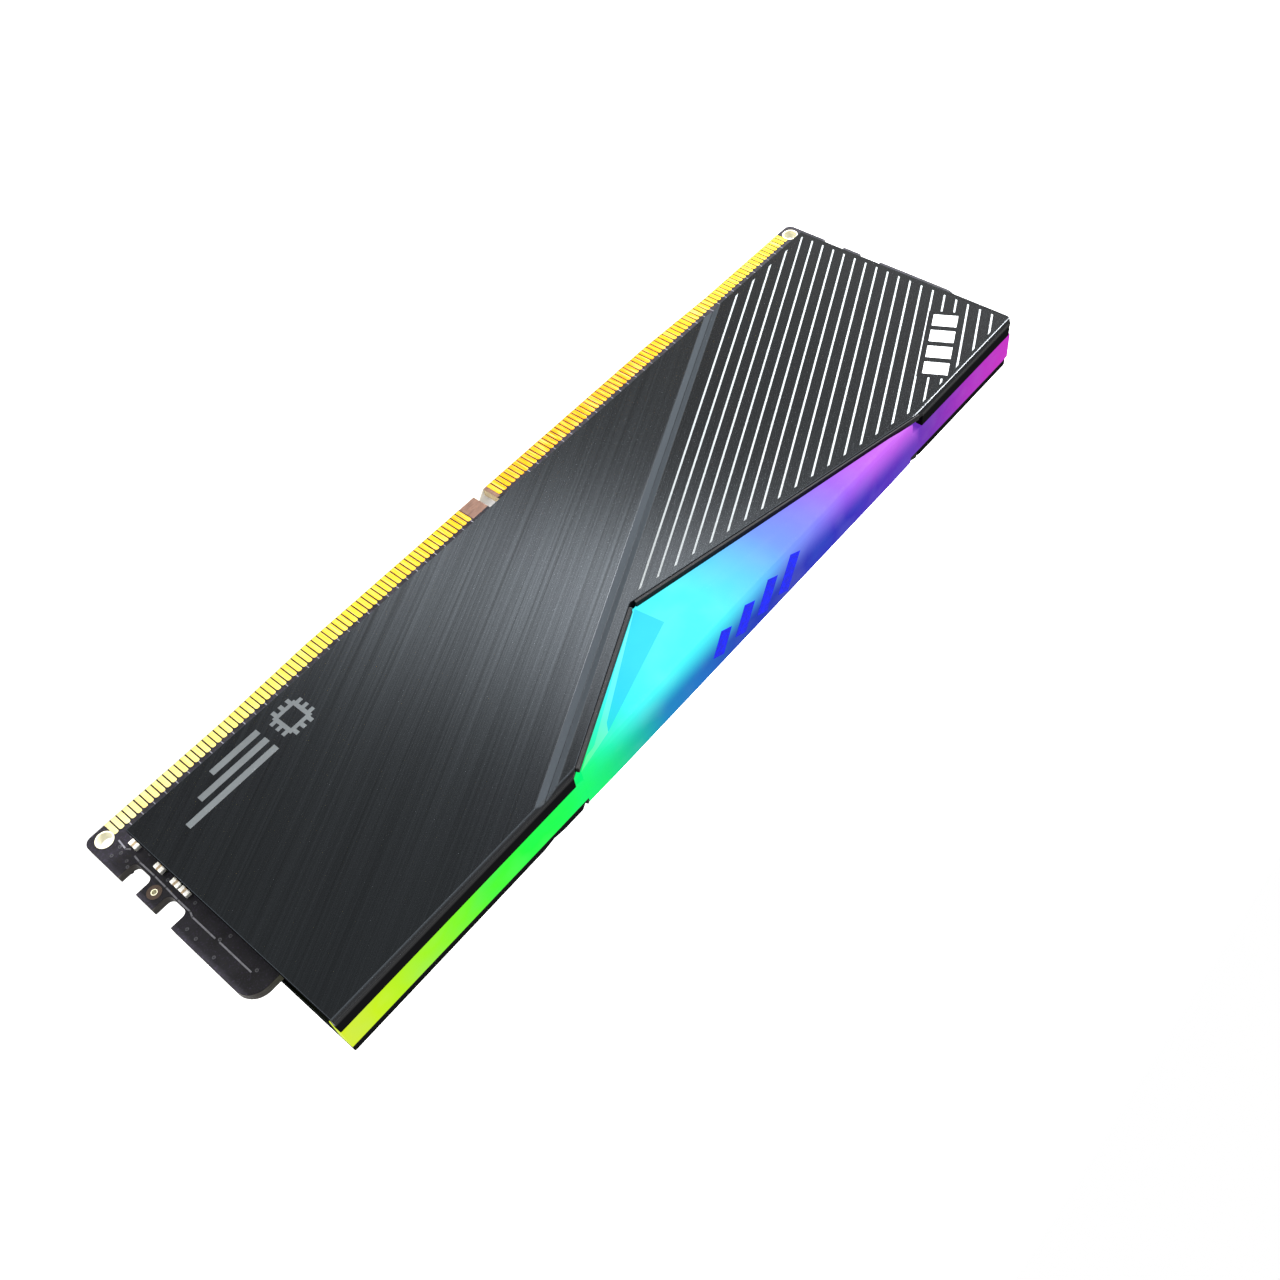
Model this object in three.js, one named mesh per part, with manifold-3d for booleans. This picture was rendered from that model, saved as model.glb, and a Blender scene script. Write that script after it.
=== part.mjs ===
// A desktop memory module: a gold-fingered circuit board between two aluminium heat spreaders, with a
// lit diffuser bar along the top. It stands as it does in its socket: +Z up with the contact edge at
// the bottom, the front facing -Y, and the origin at the middle of the contact edge. Millimetres.
import * as THREE from "three";
import { ConvexGeometry } from "three/addons/geometries/ConvexGeometry.js";
import { mergeVertices } from "three/addons/utils/BufferGeometryUtils.js";
import Module from "manifold-3d";

// ---- Circuit board ----
const BOARD_LENGTH = 133.35;
const BOARD_HEIGHT = 31.25;
const BOARD_THICK = 1.27;
const BOARD_TOP_RADIUS = 2.5;
const BOARD_FOOT_RADIUS = 1;
const END_RISE = 0.5; // the contact edge is higher at both ends, so the middle enters the socket first
const RISE_STARTS = 33; // from the middle of the board
const RISE_ENDS = 46;
const CORNER_HOLE = 2.2;
const CORNER_HOLE_IN = 1.9;
const CORNER_HOLE_UP = 2.2;
const LATCH_NOTCH_TALL = 3.4;
const LATCH_NOTCH_DEEP = 2.4;
const LATCH_NOTCH_RADIUS = 0.75;
const LOWER_NOTCH_UP = 9.15; // to the middle of the notch
const UPPER_NOTCH_UP = 15.65;
const TOOLING_HOLE = 0.8;
const TOOLING_HOLE_IN = 1.5;
const TOOLING_HOLE_UP = 12.4;
const KEY_LEFT = 0.5; // the key notch sits just right of the middle
const KEY_WIDE = 1.75;
const KEY_DEEP = 3.9;

// ---- Contacts ----
const PAD_PITCH = 0.85;
const PAD_WIDE = 0.66;
const PAD_TOP_UP = 2.65;
const PAD_THICK = 0.04;
const PAD_FOOT_GAP = 0.06; // from the contact edge up to the foot of each pad
const PAD_TIE_TALL = 0.12; // the strip of plating that joins a group of pads
const PADS_END_IN = 3.35; // from the end of the board to the centre of the last pad
const LEFT_PADS_START = 0.425; // from the middle of the board to the first pad of each group
const RIGHT_PADS_START = 5.525;

// ---- Chips and small parts ----
const MEMORY_CHIPS = 8;
const CHIP_WIDE = 10;
const CHIP_TALL = 11;
const CHIP_THICK = 1.15;
const CHIP_PITCH = 12.6;
const CHIP_NEAREST = 14.6; // from the middle of the board to the centre of the nearest chip
const CHIP_UP = 16.5;
const POWER_CHIP = 5;
const POWER_CHIP_THICK = 0.85;
const POWER_CHIP_UP = 21.5;
const INDUCTORS = 3;
const INDUCTOR = 3;
const INDUCTOR_THICK = 1.2;
const INDUCTOR_PITCH = 3.9;
const INDUCTOR_UP = 16.1;
const HUB_WIDE = 3;
const HUB_TALL = 2;
const HUB_THICK = 0.6;
const HUB_UP = 11.9;
const LIGHT_CHIP = 4;
const LIGHT_CHIP_THICK = 0.75;
const LIGHT_CHIP_UP = 25.5;
const LEDS = 10;
const LED_END_IN = 6.9; // from the end of the heat spreader to the last lamp
const LED_WIDE = 3.2;
const LED_TALL = 1.5;
const LED_THICK = 1.1;
const CAP_LONG = 1.4;
const CAP_WIDE = 0.75;
const CAP_THICK = 0.6;
const END_CAP_IN = 3.7; // from the right end of the board
const END_CAPS_UP = [5.9, 10.7, 13.8, 15.4];
const FOOT_CAPS = 4;
const FOOT_CAP_PITCH = 26;
const FOOT_CAP_SHIFT = 6;
const FOOT_CAP_UP = 4.5;

// ---- Heat spreaders ----
const MODULE_HEIGHT = 41.5;
const MODULE_THICK = 8;
const SPREADER_LENGTH = 125.4;
const SPREADER_FOOT_UP = 5.85;
const SHEET = 1;
const SHEET_CORNER_RADIUS = 0.9;
const LIP_WIDE = 2.8; // the front sheet folds over the top by this much
const LIP_CHAMFER = 0.35;
const SLANT = THREE.MathUtils.degToRad(25.8); // stripes, fold line and the window's right side
const WINDOW_TIP_X = 5.4;
const WINDOW_DEEP = 10.5; // from the top of the module down to the window's tip
const WINDOW_LEFT = -41;
const FOLD_OFFSET = 2.1; // from the window's right side to the fold line
const FOLD_WIDE = 1.5;
const FOLD_DEEP = 0.32;
const STRIPE_PITCH = 1.7;
const STRIPE_START = 0.63;
const STRIPE_WIDE = 0.3;
const ENGRAVE_DEEP = 0.06;
const STRIPE_MARGIN = 0.9;
const LABEL_BLOCKS = 4;
const LABEL_PITCH = 3.2;
const LABEL_WIDE = 2.3;
const LABEL_TALL = 3.3;
const LABEL_IN = 9.8; // from the left end of the sheet to the middle of the row of blocks
const LABEL_DOWN = 5.1;
const LABEL_GAP = 0.7;

// ---- Emblem: a plain chip outline and three bars, engraved near the right end ----
const EMBLEM_IN = 21.5; // from the right end of the sheet to the middle of the chip
const EMBLEM_UP = 9.7;
const EMBLEM_CHIP = 3.4;
const EMBLEM_LINE = 0.55;
const EMBLEM_PINS = 3;
const EMBLEM_PIN_LONG = 0.7;
const EMBLEM_PIN_PITCH = 1.1;
const EMBLEM_BARS = 3;
const EMBLEM_BAR_LONG = 13;
const EMBLEM_BAR_STEP = 3;
const EMBLEM_BAR_TALL = 0.9;
const EMBLEM_BAR_PITCH = 1.7;
const EMBLEM_SPACE = 1.4;

// ---- Diffuser ----
const GEM_GAP = 0.45; // between the diffuser and the edge of the window
const GEM_EDGE_SINK = 0.85; // how far the diffuser starts behind the sheet's face
const GEM_PEAK_DOWN = 5.3;
const GEM_PEAK_SINK = 0.05;
const GEM_RIGHT_SINK = 1.5; // the crest leans back towards the window's right end
const GEM_LEFT_SINK = 0.1;
const GEM_LEFT_IN = 3;
const BAR_IN = 1.2; // the bar below the top strip stops short of both ends
const FIT = 0.02; // between faces that bear on each other

const HALF_BOARD = BOARD_LENGTH / 2;
const HALF_SPREADER = SPREADER_LENGTH / 2;
const BOARD_FACE = BOARD_THICK / 2;
const OUTER_FACE = MODULE_THICK / 2;
const INNER_FACE = OUTER_FACE - SHEET;
const WINDOW_TIP_UP = MODULE_HEIGHT - WINDOW_DEEP;
const WINDOW_RIGHT = WINDOW_TIP_X + (MODULE_HEIGHT - WINDOW_TIP_UP) / Math.tan(SLANT);
const FRONT = -1;
const BACK = 1;

const wasm = await Module();
wasm.setup();

const FINISH = {
  laminate: { color: 0x141418, roughness: 0.55, metalness: 0 },
  gold: { color: 0xe8b83c, roughness: 0.25, metalness: 1 },
  chip: { color: 0x1b1b1d, roughness: 0.6, metalness: 0 },
  ferrite: { color: 0x3a3a3e, roughness: 0.7, metalness: 0.1 },
  ceramic: { color: 0xb9ae98, roughness: 0.5, metalness: 0 },
  lamp: { color: 0xf2f2ea, roughness: 0.4, metalness: 0 },
  pad: { color: 0x8c9094, roughness: 0.9, metalness: 0 },
  aluminium: { color: 0x4a4e52, roughness: 0.38, metalness: 0.9 },
  diffuser: { color: 0x40e8ff, roughness: 0.3, metalness: 0 },
};

const memoryModule = new THREE.Group();

// ---- Solids ----

function solid(geometry) {
  const bare = geometry.index ? geometry.toNonIndexed() : geometry.clone();
  bare.deleteAttribute("normal");
  bare.deleteAttribute("uv");
  const merged = mergeVertices(bare, 1e-4);
  return new wasm.Manifold(
    new wasm.Mesh({
      numProp: 3,
      vertProperties: merged.attributes.position.array,
      triVerts: new Uint32Array(merged.index.array),
    }),
  );
}

function geometryOf(body) {
  const mesh = body.getMesh();
  const geometry = new THREE.BufferGeometry();
  geometry.setAttribute("position", new THREE.BufferAttribute(mesh.vertProperties, 3));
  geometry.setIndex(new THREE.BufferAttribute(mesh.triVerts, 1));
  const flat = geometry.toNonIndexed();
  flat.computeVertexNormals();
  return flat;
}

function addNode(name, body, finish) {
  const mesh = new THREE.Mesh(geometryOf(body), new THREE.MeshStandardMaterial(FINISH[finish]));
  mesh.name = name;
  memoryModule.add(mesh);
}

const union = (bodies) => wasm.Manifold.union(bodies);

// A box between two corners.
function block(x0, x1, y0, y1, z0, z1) {
  const box = new THREE.BoxGeometry(x1 - x0, y1 - y0, z1 - z0);
  return solid(box.translate((x0 + x1) / 2, (y0 + y1) / 2, (z0 + z1) / 2));
}

// A flat outline drawn in X and Z, given a thickness from y0 to y1.
function sheet(shape, y0, y1) {
  const slab = new THREE.ExtrudeGeometry(shape, {
    depth: y1 - y0,
    bevelEnabled: false,
    curveSegments: 6,
  });
  return solid(slab.rotateX(Math.PI / 2).translate(0, y1, 0));
}

function polygon(points) {
  return new THREE.Shape(points.map(([x, z]) => new THREE.Vector2(x, z)));
}

// A rectangle whose corners are rounded: radii run bottom left, bottom right, top right, top left.
function roundedOutline(x0, x1, z0, z1, radii) {
  const [a, b, c, d] = radii;
  const shape = new THREE.Shape();
  const corner = (cx, cz, r, from) => r && shape.absarc(cx, cz, r, from, from + Math.PI / 2);
  shape.moveTo(x0 + a, z0);
  shape.lineTo(x1 - b, z0);
  corner(x1 - b, z0 + b, b, -Math.PI / 2);
  shape.lineTo(x1, z1 - c);
  corner(x1 - c, z1 - c, c, 0);
  shape.lineTo(x0 + d, z1);
  corner(x0 + d, z1 - d, d, Math.PI / 2);
  shape.lineTo(x0, z0 + a);
  corner(x0 + a, z0 + a, a, Math.PI);
  return shape;
}

// A round hole through the board.
function drill(x, z, diameter) {
  const bit = new THREE.CylinderGeometry(diameter / 2, diameter / 2, BOARD_THICK * 3, 24);
  return solid(bit.translate(x, 0, z));
}

// A part that stands on one face of the board, centred at x and z.
function onBoard(side, x, z, wide, tall, thick) {
  const near = side * BOARD_FACE;
  const far = side * (BOARD_FACE + thick);
  const [x0, z0] = [x - wide / 2, z - tall / 2];
  return block(x0, x0 + wide, Math.min(near, far), Math.max(near, far), z0, z0 + tall);
}

// ---- Circuit board ----

function latchNotch(end, up) {
  const deep = HALF_BOARD - LATCH_NOTCH_DEEP;
  const past = HALF_BOARD + LATCH_NOTCH_DEEP;
  const [x0, x1] = end > 0 ? [deep, past] : [-past, -deep];
  const r = LATCH_NOTCH_RADIUS;
  const half = LATCH_NOTCH_TALL / 2;
  return sheet(roundedOutline(x0, x1, up - half, up + half, [r, r, r, r]), -BOARD_THICK, BOARD_THICK);
}

function keyNotch() {
  const r = KEY_WIDE / 2;
  const outline = roundedOutline(KEY_LEFT, KEY_LEFT + KEY_WIDE, -KEY_DEEP, KEY_DEEP, [0, 0, r, r]);
  return sheet(outline, -BOARD_THICK, BOARD_THICK);
}

// The height of the contact edge at x.
function edgeUp(x) {
  const out = (Math.abs(x) - RISE_STARTS) / (RISE_ENDS - RISE_STARTS);
  return END_RISE * THREE.MathUtils.clamp(out, 0, 1);
}

// The part of the board that follows the contact edge between its two raised ends.
function contactTongue() {
  const places = [-RISE_ENDS, -RISE_STARTS, RISE_STARTS, RISE_ENDS];
  const foot = places.map((x) => [x, edgeUp(x)]);
  const outline = polygon([...foot, [RISE_ENDS, KEY_DEEP], [-RISE_ENDS, KEY_DEEP]]);
  return sheet(outline, -BOARD_FACE, BOARD_FACE);
}

function circuitBoard() {
  const [top, foot] = [BOARD_TOP_RADIUS, BOARD_FOOT_RADIUS];
  const outline = roundedOutline(-HALF_BOARD, HALF_BOARD, END_RISE, BOARD_HEIGHT, [foot, foot, top, top]);
  let board = sheet(outline, -BOARD_FACE, BOARD_FACE).add(contactTongue()).subtract(keyNotch());
  for (const end of [-1, 1]) {
    board = board
      .subtract(latchNotch(end, LOWER_NOTCH_UP))
      .subtract(latchNotch(end, UPPER_NOTCH_UP))
      .subtract(drill(end * (HALF_BOARD - CORNER_HOLE_IN), CORNER_HOLE_UP, CORNER_HOLE))
      .subtract(drill(end * (HALF_BOARD - TOOLING_HOLE_IN), TOOLING_HOLE_UP, TOOLING_HOLE));
  }
  addNode("circuit_board", board, "laminate");
}

// A thin strip of plating between two places, just above the contact edge.
function padTie(side, x0, x1) {
  const bends = [-RISE_ENDS, -RISE_STARTS, RISE_STARTS, RISE_ENDS].filter((x) => x > x0 && x < x1);
  const along = [x0, ...bends, x1];
  const foot = along.map((x) => [x, edgeUp(x) + PAD_FOOT_GAP]);
  const top = along.map((x) => [x, edgeUp(x) + PAD_FOOT_GAP + PAD_TIE_TALL]).reverse();
  const [near, far] = [side * BOARD_FACE, side * (BOARD_FACE + PAD_THICK)];
  return sheet(polygon([...foot, ...top]), Math.min(near, far), Math.max(near, far));
}

// One group of gold pads on one face, from the contact edge up, joined at the foot.
function contactGroup(name, side, end, start) {
  const last = HALF_BOARD - PADS_END_IN;
  const steps = Math.round((last - start) / PAD_PITCH);
  const ends = [start, start + PAD_PITCH * steps].map((x) => x * end).sort((a, b) => a - b);
  const pads = [padTie(side, ends[0], ends[1])];
  for (let i = 0; i <= steps; i++) {
    const x = end * (start + PAD_PITCH * i);
    const foot = edgeUp(x) + PAD_FOOT_GAP;
    pads.push(onBoard(side, x, (foot + PAD_TOP_UP) / 2, PAD_WIDE, PAD_TOP_UP - foot, PAD_THICK));
  }
  addNode(name, union(pads), "gold");
}

function contacts() {
  for (const [face, side] of [["front", FRONT], ["back", BACK]]) {
    contactGroup(`contacts_${face}_left`, side, -1, LEFT_PADS_START);
    contactGroup(`contacts_${face}_right`, side, 1, RIGHT_PADS_START);
  }
}

// ---- Chips, lamps and small parts ----

// A centred row of equal steps: the place of item i.
const rowPlace = (i, count, pitch) => (i - (count - 1) / 2) * pitch;

function memoryChips() {
  for (let i = 0; i < MEMORY_CHIPS; i++) {
    const half = MEMORY_CHIPS / 2;
    const x = i < half
      ? -CHIP_NEAREST - CHIP_PITCH * (half - 1 - i)
      : CHIP_NEAREST + CHIP_PITCH * (i - half);
    addNode(`memory_chip_${i + 1}`, onBoard(FRONT, x, CHIP_UP, CHIP_WIDE, CHIP_TALL, CHIP_THICK), "chip");
  }
}

function powerSupply() {
  const chip = onBoard(FRONT, 0, POWER_CHIP_UP, POWER_CHIP, POWER_CHIP, POWER_CHIP_THICK);
  addNode("power_management_chip", chip, "chip");
  for (let i = 0; i < INDUCTORS; i++) {
    const x = rowPlace(i, INDUCTORS, INDUCTOR_PITCH);
    const coil = onBoard(FRONT, x, INDUCTOR_UP, INDUCTOR, INDUCTOR, INDUCTOR_THICK);
    addNode(`power_inductor_${i + 1}`, coil, "ferrite");
  }
}

function controlChips() {
  addNode("spd_hub_chip", onBoard(FRONT, 0, HUB_UP, HUB_WIDE, HUB_TALL, HUB_THICK), "chip");
  const driver = onBoard(BACK, 0, LIGHT_CHIP_UP, LIGHT_CHIP, LIGHT_CHIP, LIGHT_CHIP_THICK);
  addNode("light_controller_chip", driver, "chip");
}

// Side-firing lamps whose upper faces look into the diffuser.
function leds() {
  const up = BOARD_HEIGHT - LED_TALL / 2 - FIT;
  const pitch = (SPREADER_LENGTH - LED_END_IN * 2) / (LEDS - 1);
  for (let i = 0; i < LEDS; i++) {
    const x = rowPlace(i, LEDS, pitch);
    addNode(`led_${i + 1}`, onBoard(FRONT, x, up, LED_WIDE, LED_TALL, LED_THICK), "lamp");
  }
}

function capacitors() {
  const endX = HALF_BOARD - END_CAP_IN;
  END_CAPS_UP.forEach((up, i) => {
    addNode(`end_capacitor_${i + 1}`, onBoard(FRONT, endX, up, CAP_WIDE, CAP_LONG, CAP_THICK), "ceramic");
  });
  for (let i = 0; i < FOOT_CAPS; i++) {
    const x = rowPlace(i, FOOT_CAPS, FOOT_CAP_PITCH) + FOOT_CAP_SHIFT;
    const cap = onBoard(FRONT, x, FOOT_CAP_UP, CAP_LONG, CAP_WIDE, CAP_THICK);
    addNode(`foot_capacitor_${i + 1}`, cap, "ceramic");
  }
}

// ---- Thermal pads ----

// A soft pad that fills the space between a face at one depth and a heat spreader.
function thermalPad(name, side, x0, x1, z0, z1, depth) {
  const [near, far] = [side * depth, side * INNER_FACE];
  addNode(name, block(x0, x1, Math.min(near, far), Math.max(near, far), z0, z1), "pad");
}

function thermalPads() {
  const nearest = CHIP_NEAREST - CHIP_WIDE / 2;
  const farthest = CHIP_NEAREST + CHIP_PITCH * (MEMORY_CHIPS / 2 - 1) + CHIP_WIDE / 2;
  const [foot, top] = [CHIP_UP - CHIP_TALL / 2, CHIP_UP + CHIP_TALL / 2];
  const chipFace = BOARD_FACE + CHIP_THICK;
  thermalPad("front_thermal_pad_left", FRONT, -farthest, -nearest, foot, top, chipFace);
  thermalPad("front_thermal_pad_right", FRONT, nearest, farthest, foot, top, chipFace);
  thermalPad("back_thermal_pad", BACK, -farthest, farthest, foot, top, BOARD_FACE);
  const half = POWER_CHIP / 2;
  const powerFace = BOARD_FACE + POWER_CHIP_THICK;
  const [low, high] = [POWER_CHIP_UP - half, POWER_CHIP_UP + half];
  thermalPad("power_thermal_pad", FRONT, -half, half, low, high, powerFace);
}

// ---- Heat spreaders ----

// The line at a given offset up and to the left of the window's right side: its height at x.
function slantUp(x, offset) {
  return WINDOW_TIP_UP + (x - WINDOW_TIP_X) * Math.tan(SLANT) + offset / Math.cos(SLANT);
}

// The window's outline, moved inwards by a gap, carried up past the top of the sheet.
function windowCorners(gap) {
  const left = new THREE.Vector2(WINDOW_LEFT, MODULE_HEIGHT);
  const tip = new THREE.Vector2(WINDOW_TIP_X, WINDOW_TIP_UP);
  const leftSlope = (left.y - tip.y) / (left.x - tip.x);
  const rightSlope = Math.tan(SLANT);
  const rise = (slope) => gap * Math.hypot(1, slope);
  const tipX = tip.x + (rise(leftSlope) - rise(rightSlope)) / (rightSlope - leftSlope);
  const tipUp = tip.y + rightSlope * (tipX - tip.x) + rise(rightSlope);
  const across = (slope, up) => tipX + (up - tipUp) / slope;
  return { tipX, tipUp, leftAt: (up) => across(leftSlope, up), rightAt: (up) => across(rightSlope, up) };
}

function windowCutter() {
  const past = MODULE_HEIGHT + SHEET;
  const w = windowCorners(0);
  const outline = polygon([[w.tipX, w.tipUp], [w.rightAt(past), past], [w.leftAt(past), past]]);
  return sheet(outline, -MODULE_THICK, MODULE_THICK);
}

// A four-sided bar along the slant, centred on a point of the sheet's face.
function slantBar(x, z, y, long, wide, deep) {
  const bar = new THREE.BoxGeometry(long, deep * 2, wide);
  return solid(bar.rotateY(-SLANT).translate(x, y, z));
}

function foldGroove(y) {
  const long = SPREADER_LENGTH * 1.5;
  const groove = new THREE.CylinderGeometry(1, 1, long, 4).rotateZ(Math.PI / 2);
  const placed = groove.scale(1, FOLD_DEEP, FOLD_WIDE / 2).rotateY(-SLANT);
  return solid(placed.translate(WINDOW_TIP_X, y, slantUp(WINDOW_TIP_X, -FOLD_OFFSET)));
}

// The part of the sheet that the stripes keep to, up to a margin from its edges and the window.
function stripeField(y0, y1) {
  const [left, foot] = [-HALF_SPREADER + STRIPE_MARGIN, SPREADER_FOOT_UP + STRIPE_MARGIN];
  const top = MODULE_HEIGHT - STRIPE_MARGIN;
  const w = windowCorners(-STRIPE_MARGIN);
  const underTip = [[left, foot], [w.tipX, foot], [w.tipX, w.tipUp]];
  return sheet(polygon([...underTip, [w.leftAt(top), top], [left, top]]), y0, y1);
}

// The row of plain blocks near the sheet's top left corner, each grown by a margin.
function labelBlocks(y, grow) {
  const [midX, midUp] = [-HALF_SPREADER + LABEL_IN, MODULE_HEIGHT - LABEL_DOWN];
  const blocks = [];
  for (let i = 0; i < LABEL_BLOCKS; i++) {
    const along = rowPlace(i, LABEL_BLOCKS, LABEL_PITCH);
    const [x, z] = [midX + along * Math.cos(SLANT), midUp + along * Math.sin(SLANT)];
    blocks.push(slantBar(x, z, y, LABEL_WIDE + grow * 2, LABEL_TALL + grow * 2, ENGRAVE_DEEP));
  }
  return union(blocks);
}

// Slanted stripes that fill their field and stop short of the row of blocks.
function stripes(y) {
  const farthest = WINDOW_DEEP * Math.cos(SLANT) + (WINDOW_TIP_X + HALF_SPREADER) * Math.sin(SLANT);
  const bars = [];
  for (let offset = STRIPE_START; offset < farthest; offset += STRIPE_PITCH) {
    const up = slantUp(WINDOW_TIP_X, offset);
    bars.push(slantBar(WINDOW_TIP_X, up, y, SPREADER_LENGTH * 2, STRIPE_WIDE, ENGRAVE_DEEP));
  }
  return union(bars).intersect(stripeField(y - SHEET, y + SHEET)).subtract(labelBlocks(y, LABEL_GAP));
}

// A chip seen from above, with pins on all four sides, and three bars that grow shorter.
function emblem(y) {
  const [x, up] = [HALF_SPREADER - EMBLEM_IN, EMBLEM_UP];
  const [y0, y1] = [y - ENGRAVE_DEEP, y + ENGRAVE_DEEP];
  const area = (cx, cz, wide, tall) => {
    return block(cx - wide / 2, cx + wide / 2, y0, y1, cz - tall / 2, cz + tall / 2);
  };
  const inner = EMBLEM_CHIP - EMBLEM_LINE * 2;
  const parts = [area(x, up, EMBLEM_CHIP, EMBLEM_CHIP).subtract(area(x, up, inner, inner))];
  const reach = EMBLEM_CHIP / 2 + EMBLEM_PIN_LONG / 2;
  for (let i = 0; i < EMBLEM_PINS; i++) {
    const along = rowPlace(i, EMBLEM_PINS, EMBLEM_PIN_PITCH);
    for (const side of [-1, 1]) {
      parts.push(area(x + along, up + side * reach, EMBLEM_LINE, EMBLEM_PIN_LONG));
      parts.push(area(x + side * reach, up + along, EMBLEM_PIN_LONG, EMBLEM_LINE));
    }
  }
  const barsStart = x + EMBLEM_CHIP / 2 + EMBLEM_PIN_LONG + EMBLEM_SPACE;
  for (let i = 0; i < EMBLEM_BARS; i++) {
    const long = EMBLEM_BAR_LONG - EMBLEM_BAR_STEP * i;
    const barUp = up - rowPlace(i, EMBLEM_BARS, EMBLEM_BAR_PITCH);
    parts.push(area(barsStart + long / 2, barUp, long, EMBLEM_BAR_TALL));
  }
  return union(parts);
}

function engraving(y) {
  return union([stripes(y), labelBlocks(y, 0), emblem(y)]);
}

function panel(y0, y1) {
  const r = SHEET_CORNER_RADIUS;
  const x = HALF_SPREADER;
  const outline = roundedOutline(-x, x, SPREADER_FOOT_UP, MODULE_HEIGHT, [0, 0, 0, r]);
  return sheet(outline, y0, y1);
}

// The folded-over top of the front sheet, which stops at both ends of the window.
function topLip() {
  const inner = -OUTER_FACE + LIP_WIDE;
  const under = MODULE_HEIGHT - SHEET;
  const strip = (x0, x1) => block(x0, x1, -OUTER_FACE + SHEET / 2, inner, under, MODULE_HEIGHT);
  const left = strip(-HALF_SPREADER + SHEET_CORNER_RADIUS / 2, WINDOW_LEFT);
  return union([left, strip(WINDOW_RIGHT, HALF_SPREADER)]);
}

function lipChamfer() {
  const side = LIP_CHAMFER * Math.SQRT2;
  const bar = new THREE.BoxGeometry(SPREADER_LENGTH * 2, side, side).rotateX(Math.PI / 4);
  return solid(bar.translate(0, -OUTER_FACE, MODULE_HEIGHT));
}

function heatSpreaders() {
  const front = panel(-OUTER_FACE, -INNER_FACE)
    .subtract(windowCutter())
    .add(topLip())
    .subtract(lipChamfer())
    .subtract(foldGroove(-OUTER_FACE))
    .subtract(engraving(-OUTER_FACE));
  addNode("front_heat_spreader", front, "aluminium");
  const back = panel(INNER_FACE, OUTER_FACE)
    .subtract(windowCutter())
    .subtract(foldGroove(OUTER_FACE))
    .subtract(engraving(OUTER_FACE));
  addNode("back_heat_spreader", back, "aluminium");
}

// ---- Diffuser ----

// One faceted face of the diffuser: it fills the window, peaks below the top and leans back to the right.
function gem(side) {
  const w = windowCorners(GEM_GAP);
  const [left, right] = [w.leftAt(MODULE_HEIGHT), w.rightAt(MODULE_HEIGHT)];
  const at = (x, up, sink) => new THREE.Vector3(x, side * (OUTER_FACE - sink), up);
  const buried = SHEET * 2;
  return solid(new ConvexGeometry([
    at(w.tipX, w.tipUp, buried),
    at(left, MODULE_HEIGHT, buried),
    at(right, MODULE_HEIGHT, buried),
    at(w.tipX, w.tipUp, GEM_EDGE_SINK),
    at(left, MODULE_HEIGHT, GEM_EDGE_SINK),
    at(right, MODULE_HEIGHT, GEM_RIGHT_SINK),
    at(left + GEM_LEFT_IN, MODULE_HEIGHT, GEM_LEFT_SINK),
    at(w.tipX, MODULE_HEIGHT - GEM_PEAK_DOWN, GEM_PEAK_SINK),
  ]));
}

function lightDiffuser() {
  const under = MODULE_HEIGHT - SHEET - FIT;
  const half = HALF_SPREADER;
  const back = INNER_FACE - FIT;
  const bar = block(-half + BAR_IN, half - BAR_IN, -INNER_FACE + FIT, back, BOARD_HEIGHT, under);
  const strip = block(-half, half, -OUTER_FACE + LIP_WIDE + FIT, back, under - SHEET, MODULE_HEIGHT);
  const [x0, x1] = [WINDOW_LEFT + GEM_GAP, WINDOW_RIGHT - GEM_GAP];
  const middle = block(x0, x1, -INNER_FACE + FIT, back, under - SHEET, MODULE_HEIGHT);
  addNode("light_diffuser", union([bar, strip, middle, gem(FRONT), gem(BACK)]), "diffuser");
}

circuitBoard();
contacts();
memoryChips();
powerSupply();
controlChips();
leds();
capacitors();
thermalPads();
heatSpreaders();
lightDiffuser();

export default memoryModule;
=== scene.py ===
"""Builds a desktop memory module round its frame: board, contacts, chips, heat spreaders and light bar."""

import math

import bmesh
import bpy
from mathutils import Matrix, Vector


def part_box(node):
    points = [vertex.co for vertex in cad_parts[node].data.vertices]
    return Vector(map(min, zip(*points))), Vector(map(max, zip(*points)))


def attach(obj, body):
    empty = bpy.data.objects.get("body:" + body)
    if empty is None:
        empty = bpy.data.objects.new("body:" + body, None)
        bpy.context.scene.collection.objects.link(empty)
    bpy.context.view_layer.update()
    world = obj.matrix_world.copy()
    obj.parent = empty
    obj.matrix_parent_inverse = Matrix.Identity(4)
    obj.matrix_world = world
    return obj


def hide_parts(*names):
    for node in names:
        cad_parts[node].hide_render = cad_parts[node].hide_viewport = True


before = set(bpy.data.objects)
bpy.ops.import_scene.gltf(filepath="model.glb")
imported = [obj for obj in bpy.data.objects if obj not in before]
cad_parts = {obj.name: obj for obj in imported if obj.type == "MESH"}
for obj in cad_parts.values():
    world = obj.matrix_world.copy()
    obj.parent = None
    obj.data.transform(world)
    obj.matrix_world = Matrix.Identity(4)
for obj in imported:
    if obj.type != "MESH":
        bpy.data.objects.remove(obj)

bl_info = {
    "name": "Memory Module",
    "version": (1, 0, 0),
    "blender": (4, 5, 0),
    "location": "View3D > Sidebar > Memory Module",
    "description": "Builds a desktop memory module with heat spreaders and a light bar",
    "category": "Object",
}

MM = 0.001
FRONT, BACK = -1, 1
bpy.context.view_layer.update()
MERGE_GAP = 1e-6


# ---- Places taken from the frame ----

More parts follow.
